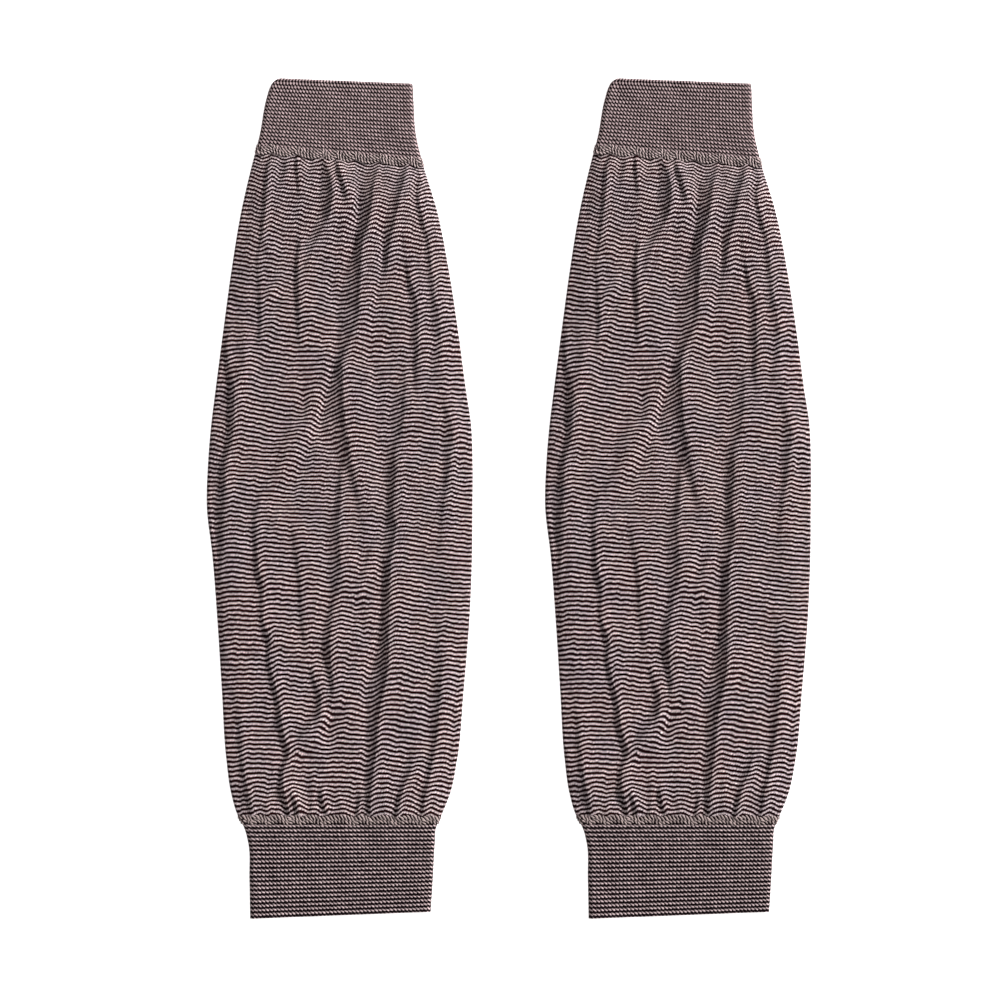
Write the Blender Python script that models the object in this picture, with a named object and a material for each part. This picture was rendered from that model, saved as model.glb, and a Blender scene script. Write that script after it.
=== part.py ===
"""A pair of knitted arm sleeves, laid flat side by side.

Each sleeve is a wide tube of plain knit, gathered into a ribbed wrist cuff at one end and a ribbed
cuff for the upper arm at the other. It lies with its back layer flat on the surface and its front
layer on top of that, rucked up in long soft folds. Metres, +Z up; the wrist cuffs point along +Y.
"""

import math
from typing import NamedTuple

import bmesh
import bpy
import numpy as np
from mathutils import Vector

MM = 0.001

# Driving sizes, mm. A sleeve's own x and y are measured from the middle of its outline.
SLEEVE_SPACING = 169.0
KNIT_WALL = 1.2
RIB_WALL = 1.9
SEAM_GAP = 0.3
LAYER_GAP = 0.4  # between the front layer and the back layer where they lie closest

# Heights above the surface, mm
BODY_EDGE_HEIGHT = 3.0
BODY_CROWN_HEIGHT = 4.7
CUFF_HEIGHT = 4.2
TALLEST_RIDGE = 6.5
SHOULDER = 7.0  # how far in from a side edge the front layer reaches its crown

# Ribs of the cuffs: how many show across the front, and how far they stand out of the wall, mm
WRIST_RIBS = 42
ARM_RIBS = 46
RIB_RELIEF = 0.35

# Fineness of the cloth solids
BODY_COLUMNS = 63
BODY_RINGS = 19
RING_CROWDING = 0.55  # how much closer together the rings lie near the seams, where gathers start
EDGE_ANGLES = (-90, -45, 0, 45)  # round a side edge, from the back layer up to the front layer
PATH_POINTS = 13
NARROWEST_FOLD = 2.5  # mm; the columns can't show a narrower trough
FADING_SHARE = 0.3  # of a fold's length, at an end that isn't held in a seam
SEAM_REACH = 4.0  # mm; a fold that ends this close to a seam is held in it


class Station(NamedTuple):
    """A height up the sleeve, and where the outline's left and right edges are there, mm."""

    y: float
    left: float
    right: float


OUTLINE = (
    Station(y=-210.0, left=-44.8, right=45.3),
    Station(y=-190.0, left=-45.2, right=46.6),
    Station(y=-172.0, left=-45.8, right=47.6),
    Station(y=-164.5, left=-47.8, right=48.2),
    Station(y=-158.0, left=-51.2, right=51.0),
    Station(y=-148.0, left=-54.2, right=55.0),
    Station(y=-130.0, left=-56.8, right=58.8),
    Station(y=-96.0, left=-59.0, right=62.0),
    Station(y=-60.0, left=-61.3, right=64.9),
    Station(y=-28.0, left=-63.8, right=66.2),
    Station(y=-4.0, left=-66.5, right=66.4),
    Station(y=16.0, left=-66.0, right=66.5),
    Station(y=38.0, left=-64.2, right=65.6),
    Station(y=54.0, left=-62.2, right=63.2),
    Station(y=84.0, left=-58.3, right=59.2),
    Station(y=114.0, left=-54.2, right=54.6),
    Station(y=144.0, left=-49.2, right=48.6),
    Station(y=168.0, left=-43.6, right=41.4),
    Station(y=181.0, left=-40.2, right=38.3),
    Station(y=200.0, left=-36.6, right=36.9),
    Station(y=205.5, left=-34.8, right=36.6),
    Station(y=208.5, left=-32.8, right=35.9),
    Station(y=210.0, left=-30.4, right=34.6),
)


class Line(NamedTuple):
    """A straight edge or seam across the sleeve: its height at the left and the right side, mm."""

    left: float
    right: float


WRIST_EDGE = Line(left=209.7, right=207.2)
WRIST_SEAM = Line(left=173.2, right=166.4)
ARM_SEAM = Line(left=-160.3, right=-160.6)
ARM_EDGE = Line(left=-209.7, right=-206.4)

# How far along each cuff its sections are, from its seam at 0 to its open edge at 1
WRIST_SECTIONS = (0.0, 0.45, 0.86, 1.0)
ARM_SECTIONS = (0.0, 0.22, 0.6, 1.0)


class Fold(NamedTuple):
    """A trough in the front layer: three points that it runs through, half its width and its depth, mm."""

    x1: float
    y1: float
    x2: float
    y2: float
    x3: float
    y3: float
    width: float
    depth: float


# Long folds, from the left side to the right
LONG_FOLDS = (
    Fold(-56.8, 84, -54.0, 50, -58.3, 17, width=2.2, depth=1.6),
    Fold(-58.3, 17, -58.9, -6, -60.5, -50, width=2.0, depth=1.5),
    Fold(-36.2, 169, -39.5, 129, -41.0, 77, width=2.5, depth=0.9),
    Fold(-41.0, 5, -42.0, -26, -39.0, -62, width=2.2, depth=1.0),
    Fold(-39.0, -60, -34.5, -91, -26.5, -126, width=2.4, depth=1.6),
    Fold(-26.5, -124, -28.8, -138, -24.5, -159, width=2.0, depth=1.5),
    Fold(-18.0, 129, -22.3, 104, -19.5, 46, width=2.2, depth=0.9),
    Fold(-10.0, 171, -4.0, 155, -14.0, 131, width=2.6, depth=1.2),
    Fold(-23.0, -14, -20.0, -51, -14.0, -88, width=1.9, depth=0.8),
    Fold(-14.0, -88, -9.5, -104, -22.5, -124, width=1.9, depth=1.1),
    Fold(16.7, 169, 13.8, 144, 8.5, 116, width=2.8, depth=1.8),
    Fold(8.5, 120, 9.5, 99, -0.5, 62, width=2.6, depth=1.8),
    Fold(-0.5, 66, 2.2, 34, -1.5, -12, width=2.6, depth=1.7),
    Fold(-1.5, -8, -3.0, -44, -6.8, -72, width=2.6, depth=1.6),
    Fold(-6.8, -68, -5.5, -88, -4.5, -110, width=2.0, depth=1.5),
    Fold(3.0, 29, 6.5, 10, 11.0, -14, width=2.0, depth=0.9),
    Fold(33.8, 166, 28.5, 149, 23.5, 124, width=2.5, depth=1.1),
    Fold(29.0, 56, 26.5, 29, 25.3, -3, width=2.8, depth=1.5),
    Fold(25.5, 0, 23.3, -35, 21.5, -77, width=3.0, depth=1.9),
    Fold(21.5, -72, 17.8, -114, 14.5, -159, width=2.7, depth=1.9),
    Fold(15.5, -19, 11.0, -43, 12.0, -76, width=2.0, depth=0.7),
    Fold(33.0, 118, 37.0, 84, 39.3, 54, width=2.5, depth=0.9),
    Fold(38.9, 164, 44.0, 125, 48.5, 74, width=2.5, depth=1.2),
    Fold(51.5, 42, 53.0, 0, 50.5, -61, width=2.2, depth=0.8),
    Fold(46.0, -95, 45.6, -123, 42.0, -157, width=2.4, depth=1.2),
    Fold(37.5, -126, 32.5, -141, 28.3, -157, width=2.0, depth=1.3),
    Fold(61.0, -84, 59.5, -106, 55.5, -139, width=1.8, depth=1.2),
)

# Short folds: the gathers under the wrist cuff, those over the arm cuff, and slanting creases
SHORT_FOLDS = (
    Fold(-29.5, 171, -29.2, 163, -28.3, 152, width=1.8, depth=0.8),
    Fold(-21.1, 171, -21.6, 157, -20.5, 141, width=1.8, depth=1.0),
    Fold(-1.9, 171, 1.8, 156, -0.5, 136, width=1.9, depth=1.1),
    Fold(8.0, 170, 8.8, 160, 8.2, 148, width=1.8, depth=0.8),
    Fold(25.0, 168, 24.2, 158, 22.8, 145, width=1.8, depth=0.8),
    Fold(-45.0, -157, -47.6, -141, -50.0, -121, width=1.9, depth=0.9),
    Fold(-34.5, -159, -35.0, -150, -36.5, -140, width=1.8, depth=0.9),
    Fold(-16.5, -159, -16.0, -150, -15.0, -139, width=1.8, depth=0.9),
    Fold(-6.8, -159, -7.2, -150, -8.0, -137, width=1.8, depth=0.9),
    Fold(5.0, -159, 5.5, -150, 6.0, -140, width=1.8, depth=0.7),
    Fold(-31.5, 110, -35.0, 106, -38.5, 100, width=1.9, depth=0.8),
    Fold(-27.3, 105, -29.5, 100, -32.0, 93, width=1.9, depth=0.7),
    Fold(-50.0, 81, -52.0, 71, -48.5, 63, width=1.9, depth=0.8),
    Fold(-24.5, 32, -34.0, 21, -45.0, 11, width=2.2, depth=0.6),
    Fold(-17.5, 21, -27.0, 11, -38.0, 1, width=2.2, depth=0.6),
    Fold(-19.5, -126, -13.5, -127, -7.5, -125, width=1.9, depth=0.9),
)


def clear_scene():
    """Removes what the startup scene holds."""
    for old in list(bpy.data.objects):
        bpy.data.objects.remove(old)


def knit_material(name, colour):
    """A dull woolly finish of one colour, the mean of its dark and pale stripes (linear RGB)."""
    material = bpy.data.materials.new(name)
    material.use_nodes = True
    shader = material.node_tree.nodes["Principled BSDF"]
    shader.inputs["Base Color"].default_value = (*colour, 1.0)
    shader.inputs["Roughness"].default_value = 0.9
    shader.inputs["Metallic"].default_value = 0.0
    return material


def smooth_step(value):
    """0 below 0, 1 above 1 and an S curve between."""
    t = min(max(value, 0.0), 1.0)
    return t * t * (3.0 - 2.0 * t)


def edge_at(y, side):
    """The outline's x at this height, on a smooth curve through the stations."""
    last = len(OUTLINE) - 2
    i = next((k for k in range(last + 1) if y <= OUTLINE[k + 1].y), last)
    rows = [OUTLINE[k] for k in (max(i - 1, 0), i, i + 1, min(i + 2, last + 1))]
    before, low, high, after = [getattr(row, side) for row in rows]
    span = rows[2].y - rows[1].y
    rise_low = (high - before) / (rows[2].y - rows[0].y) * span
    rise_high = (after - low) / (rows[3].y - rows[1].y) * span
    t = min(max((y - rows[1].y) / span, 0.0), 1.0)
    start = low * (2 * t**3 - 3 * t**2 + 1) + rise_low * (t**3 - 2 * t**2 + t)
    end = high * (3 * t**2 - 2 * t**3) + rise_high * (t**3 - t**2)
    return start + end


def fold_path(fold):
    """Points along a fold, on the parabola that runs through its three points."""
    t = np.linspace(0.0, 1.0, PATH_POINTS)
    first, middle, third = (1 - t) * (1 - 2 * t), 4 * t * (1 - t), t * (2 * t - 1)
    x = first * fold.x1 + middle * fold.x2 + third * fold.x3
    y = first * fold.y1 + middle * fold.y2 + third * fold.y3
    return np.stack([x, y], axis=1)


def end_strength(y, share):
    """How deep a fold is at this share of its length from an end at height y, where it may fade out."""
    in_seam = y > WRIST_SEAM.right - SEAM_REACH or y < ARM_SEAM.left + SEAM_REACH
    return 1.0 if in_seam else smooth_step(share / FADING_SHARE)


def fold_lift(point, fold, path):
    """How far a fold lowers the front layer at a point, or raises it along the trough's two crests."""
    starts, steps = path[:-1], np.diff(path, axis=0)
    along = np.clip(((point - starts) * steps).sum(axis=1) / (steps**2).sum(axis=1), 0.0, 1.0)
    away = np.hypot(*(point - starts - along[:, None] * steps).T)
    nearest = int(away.argmin())
    share = (nearest + along[nearest]) / len(steps)
    across = away[nearest] / max(fold.width, NARROWEST_FOLD)
    profile = (across**2 - 1.0) * math.exp(-(across**2) / 2)
    return fold.depth * profile * end_strength(fold.y1, share) * end_strength(fold.y3, 1.0 - share)


FOLD_PATHS = [(fold, fold_path(fold)) for fold in LONG_FOLDS + SHORT_FOLDS]


def front_height(place, edge_distance):
    """The outer height of the front layer, mm, with every fold in it."""
    point = np.array([place.x, place.y])
    folds = sum(fold_lift(point, fold, path) for fold, path in FOLD_PATHS)
    crown = BODY_CROWN_HEIGHT - BODY_EDGE_HEIGHT + folds
    height = BODY_EDGE_HEIGHT + smooth_step(edge_distance / SHOULDER) * crown
    lowest = 2 * KNIT_WALL + LAYER_GAP
    return min(max(height, lowest), TALLEST_RIDGE)


def outline_points(left_y, right_y):
    """The two points of the outline that a section runs between."""
    left = Vector((edge_at(left_y, "left"), left_y, 0.0))
    right = Vector((edge_at(right_y, "right"), right_y, 0.0))
    return left, right


def front_places(left, right, edge_height, count):
    """Places across the front, from where one side edge has turned over to where the other has."""
    radius = (right - left).normalized() * edge_height / 2
    start, finish = left + radius, right - radius
    return [start.lerp(finish, step / (count - 1)) for step in range(count)]


def side_arc(corner, inward, height, wall):
    """The cloth's turn from the back layer to the front layer at one side edge.

    Returns matching points of its outer and inner face, from the back layer upwards.
    """
    radius = height / 2
    centre = corner + inward * radius + Vector((0.0, 0.0, radius))
    turns = [math.radians(angle) for angle in EDGE_ANGLES]
    outwards = [Vector((0.0, 0.0, math.sin(turn))) - inward * math.cos(turn) for turn in turns]
    outer = [centre + outward * radius for outward in outwards]
    inner = [centre + outward * (radius - wall) for outward in outwards]
    return outer, inner


def section(left, right, edge_height, wall, front):
    """One ring of the cloth: matching outer and inner points, in order round the tube.

    front holds the place, the outer height and the thickness straight down of each front point.
    """
    across = (right - left).normalized()
    outer, inner = side_arc(left, across, edge_height, wall)
    for place, height, thickness in front:
        outer.append(place + Vector((0.0, 0.0, height)))
        inner.append(place + Vector((0.0, 0.0, height - thickness)))
    right_outer, right_inner = side_arc(right, -across, edge_height, wall)
    return outer + right_outer[::-1], inner + right_inner[::-1]


def body_section(along):
    """A ring of the gathered tube, with along running from the arm seam at 0 to the wrist seam at 1."""
    seams = zip(ARM_SEAM, WRIST_SEAM)
    left_y, right_y = (low + SEAM_GAP / 2 + along * (high - low - SEAM_GAP) for low, high in seams)
    left, right = outline_points(left_y, right_y)
    places = front_places(left, right, BODY_EDGE_HEIGHT, BODY_COLUMNS + 1)
    column_width = (places[1] - places[0]).length
    edge_distances = [min(column, BODY_COLUMNS - column) * column_width for column in range(len(places))]
    heights = [front_height(*point) for point in zip(places, edge_distances)]
    front = []
    for column, (place, height) in enumerate(zip(places, heights)):
        before, after = heights[max(column - 1, 0)], heights[min(column + 1, BODY_COLUMNS)]
        steepness = (after - before) / (2 * column_width)
        room = height - KNIT_WALL - LAYER_GAP
        front.append((place, height, min(KNIT_WALL * math.hypot(1.0, steepness), room)))
    return section(left, right, BODY_EDGE_HEIGHT, KNIT_WALL, front)


def cuff_section(seam, edge, along, ribs):
    """A ring of a ribbed cuff, with along running from its seam at 0 to its open edge at 1."""
    gap = math.copysign(SEAM_GAP / 2, edge.left - seam.left)
    left_y, right_y = (low + gap + along * (high - low - gap) for low, high in zip(seam, edge))
    left, right = outline_points(left_y, right_y)
    front = []
    for point, place in enumerate(front_places(left, right, CUFF_HEIGHT, 2 * ribs + 1)):
        relief = RIB_RELIEF if point % 2 else 0.0
        front.append((place, CUFF_HEIGHT + relief, RIB_WALL + relief))
    return section(left, right, CUFF_HEIGHT, RIB_WALL, front)


def lofted_wall(name, sections, material):
    """Joins rings of outer and inner points into one closed wall, open at both ends like a tube."""
    shape = bmesh.new()
    outer_skin = [[shape.verts.new(point * MM) for point in outer] for outer, _ in sections]
    inner_skin = [[shape.verts.new(point * MM) for point in inner] for _, inner in sections]

    def join(one, other):
        for k in range(len(one)):
            after = (k + 1) % len(one)
            shape.faces.new((one[k], one[after], other[after], other[k]))

    for skin in (outer_skin, inner_skin):
        for lower, upper in zip(skin, skin[1:]):
            join(lower, upper)
    for end in (0, -1):
        join(outer_skin[end], inner_skin[end])
    bmesh.ops.recalc_face_normals(shape, faces=shape.faces)
    mesh = bpy.data.meshes.new(name)
    shape.to_mesh(mesh)
    shape.free()
    mesh.materials.append(material)
    mesh.shade_smooth()
    return mesh


def body_mesh():
    """The gathered tube of one sleeve, with its rings closer together near the seams."""
    steps = np.linspace(0.0, 1.0, BODY_RINGS)
    alongs = steps - RING_CROWDING * np.sin(2 * math.pi * steps) / (2 * math.pi)
    material = knit_material("striped_jersey", (0.18, 0.13, 0.13))
    return lofted_wall("body", [body_section(along) for along in alongs], material)


def wrist_cuff_mesh():
    """The narrow ribbed cuff of one sleeve."""
    sections = [cuff_section(WRIST_SEAM, WRIST_EDGE, along, WRIST_RIBS) for along in WRIST_SECTIONS]
    return lofted_wall("wrist_cuff", sections, knit_material("fine_rib", (0.17, 0.12, 0.13)))


def arm_cuff_mesh():
    """The wide ribbed cuff of one sleeve."""
    sections = [cuff_section(ARM_SEAM, ARM_EDGE, along, ARM_RIBS) for along in ARM_SECTIONS]
    return lofted_wall("arm_cuff", sections, knit_material("coarse_rib", (0.12, 0.085, 0.09)))


def main():
    """Builds one sleeve's pieces and lays them out twice, side by side."""
    clear_scene()
    pair = bpy.data.collections.new("arm_sleeves")
    bpy.context.scene.collection.children.link(pair)
    meshes = (body_mesh(), wrist_cuff_mesh(), arm_cuff_mesh())
    for side, sign in (("left", -1), ("right", 1)):
        sleeve = bpy.data.objects.new(f"{side}_sleeve", None)
        sleeve.location = (sign * SLEEVE_SPACING / 2 * MM, 0.0, 0.0)
        pair.objects.link(sleeve)
        for mesh in meshes:
            piece = bpy.data.objects.new(f"{side}_{mesh.name}", mesh)
            piece.parent = sleeve
            pair.objects.link(piece)


main()
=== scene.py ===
"""The looks of a pair of knitted arm sleeves, laid flat side by side.

Each sleeve is a gathered tube of striped jersey between two ribbed cuffs. Its back layer lies flat on
the surface, and its front layer lies on that, rucked up in long folds. Sizes are millimetres, measured
from the middle of one sleeve's outline, +Y towards the wrist; meshes are made in metres.
"""

import logging
import math
from dataclasses import dataclass, replace
from enum import Enum
from typing import Any

import bpy
import numpy as np
from mathutils import Matrix, Vector

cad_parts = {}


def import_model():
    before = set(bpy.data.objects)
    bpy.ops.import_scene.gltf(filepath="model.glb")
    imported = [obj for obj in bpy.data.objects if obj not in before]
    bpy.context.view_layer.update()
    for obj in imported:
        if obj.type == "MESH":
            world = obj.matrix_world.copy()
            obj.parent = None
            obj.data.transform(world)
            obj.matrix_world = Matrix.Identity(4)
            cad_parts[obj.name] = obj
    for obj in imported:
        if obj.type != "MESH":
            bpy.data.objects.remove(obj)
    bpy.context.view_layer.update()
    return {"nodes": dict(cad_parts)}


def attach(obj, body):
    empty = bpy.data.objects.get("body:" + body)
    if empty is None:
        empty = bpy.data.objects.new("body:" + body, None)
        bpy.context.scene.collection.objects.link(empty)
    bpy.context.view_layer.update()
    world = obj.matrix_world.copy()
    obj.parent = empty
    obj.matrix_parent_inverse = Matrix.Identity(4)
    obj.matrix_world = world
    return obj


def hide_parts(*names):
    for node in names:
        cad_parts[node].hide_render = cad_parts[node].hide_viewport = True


LOG = logging.getLogger("arm_sleeves")
MM = 0.001

SLEEVE_SPACING = 169.0
SEAM_GAP = 0.3
CUFF_HEIGHT = 4.2
ARC_STEPS = 7  # columns round each side edge
SEED = 7
WAVE_TRAINS = 9  # how many trains of waves make up slow unevenness
WAVE_RANGE = (0.6, 1.6)  # the shortest and longest of them, as shares of the usual length


class Side(Enum):
    """Left or right: a sleeve of the pair, shifted by its share of the spacing, or an edge of one sleeve."""

    LEFT = -0.5
    RIGHT = 0.5

    @property
    def label(self) -> str:
        """Its name in the frame, which is also that of the edge in a Station."""
        return self.name.lower()

    @property
    def shift(self) -> Vector:
        """How far the sleeve's middle lies from the pair's, metres."""
        return Vector((self.value * SLEEVE_SPACING * MM, 0.0, 0.0))


@dataclass(frozen=True)
class Station:
    """A height up the sleeve, and where its left and right edges are there."""

    y: float
    left: float
    right: float


@dataclass(frozen=True)
class Line:
    """A straight edge or seam across the sleeve: its height at the left and the right side."""

    left: float
    right: float


@dataclass(frozen=True)
class Fold:
    """A fold in the front layer, as (x, y, rise, flank) points down its brow line.

    From a foot on the line's left the cloth climbs the rise over the flank's width, ever steeper up to the
    brow, then sinks away over right; the cloth left of the foot dips into it over left.
    """

    left: float
    right: float
    points: tuple[tuple[float, float, float, float], ...]
    brow: float = 0.7  # how wide its steep brow is


@dataclass(frozen=True)
class Crumple(Fold):
    """A fold with a round brow, which slants or lies across the sleeve."""

    brow: float = 1.6


@dataclass(frozen=True)
class Ridge:
    """A soft crease as (x, y, height) points, with its half widths; a height below 0 makes a hollow."""

    left: float
    right: float
    points: tuple[tuple[float, float, float], ...]


@dataclass(frozen=True)
class Valley:
    """A sharp line, as (x, y, depth) points: the cloth dips into it over left and climbs out over right."""

    left: float
    right: float
    points: tuple[tuple[float, float, float], ...]


@dataclass(frozen=True)
class CourseGuide:
    """A line down the sleeve with how low the stripes hang on it, as (x, y, sag) points."""

    points: tuple[tuple[float, float, float], ...]


@dataclass(frozen=True)
class BackCrease:
    """A straight soft crease where the back layer lifts off the surface."""

    start: tuple[float, float]
    end: tuple[float, float]
    width: float
    lift: float


@dataclass(frozen=True)
class Unevenness:
    """Slow waves that go every way, the same each run."""

    size: float
    length: float
    seed: int
    squash: float = 1.0  # of heights up the sleeve: below 1 the waves are longer that way

    def at(self, x: np.ndarray, y: np.ndarray) -> np.ndarray:
        """How large the unevenness is.

        Args:
            x: Places across.
            y: Places along.

        Returns:
            Values of about its size either way.
        """
        rng = np.random.default_rng(SEED + self.seed)
        total = np.zeros_like(x)
        for _ in range(WAVE_TRAINS):
            turn, phase = rng.uniform(0, 2 * math.pi, 2)
            step = 2 * math.pi / (self.length * rng.uniform(*WAVE_RANGE))
            total += np.sin(step * (x * math.cos(turn) + self.squash * y * math.sin(turn)) + phase)
        return self.size * (total / math.sqrt(WAVE_TRAINS))


# The sleeve's outline, from its arm end up to its wrist end
OUTLINE = (
    Station(y=-210.0, left=-44.8, right=45.3),
    Station(y=-190.0, left=-45.2, right=46.6),
    Station(y=-172.0, left=-45.8, right=47.6),
    Station(y=-164.5, left=-47.8, right=48.2),
    Station(y=-158.0, left=-51.2, right=51.0),
    Station(y=-148.0, left=-54.2, right=55.0),
    Station(y=-130.0, left=-56.8, right=58.8),
    Station(y=-96.0, left=-59.0, right=62.0),
    Station(y=-60.0, left=-61.3, right=64.9),
    Station(y=-28.0, left=-63.8, right=66.2),
    Station(y=-4.0, left=-66.5, right=66.4),
    Station(y=16.0, left=-66.0, right=66.5),
    Station(y=38.0, left=-64.2, right=65.6),
    Station(y=54.0, left=-62.2, right=63.2),
    Station(y=84.0, left=-58.3, right=59.2),
    Station(y=114.0, left=-54.2, right=54.6),
    Station(y=144.0, left=-49.2, right=48.6),
    Station(y=168.0, left=-43.6, right=41.4),
    Station(y=181.0, left=-40.2, right=38.3),
    Station(y=200.0, left=-36.6, right=36.9),
    Station(y=205.5, left=-34.8, right=36.6),
    Station(y=208.5, left=-32.8, right=35.9),
    Station(y=210.0, left=-30.4, right=34.6),
)

WRIST_EDGE = Line(left=209.7, right=207.2)
WRIST_SEAM = Line(left=173.2, right=166.4)
ARM_SEAM = Line(left=-160.3, right=-160.6)
ARM_EDGE = Line(left=-209.7, right=-206.4)

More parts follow.
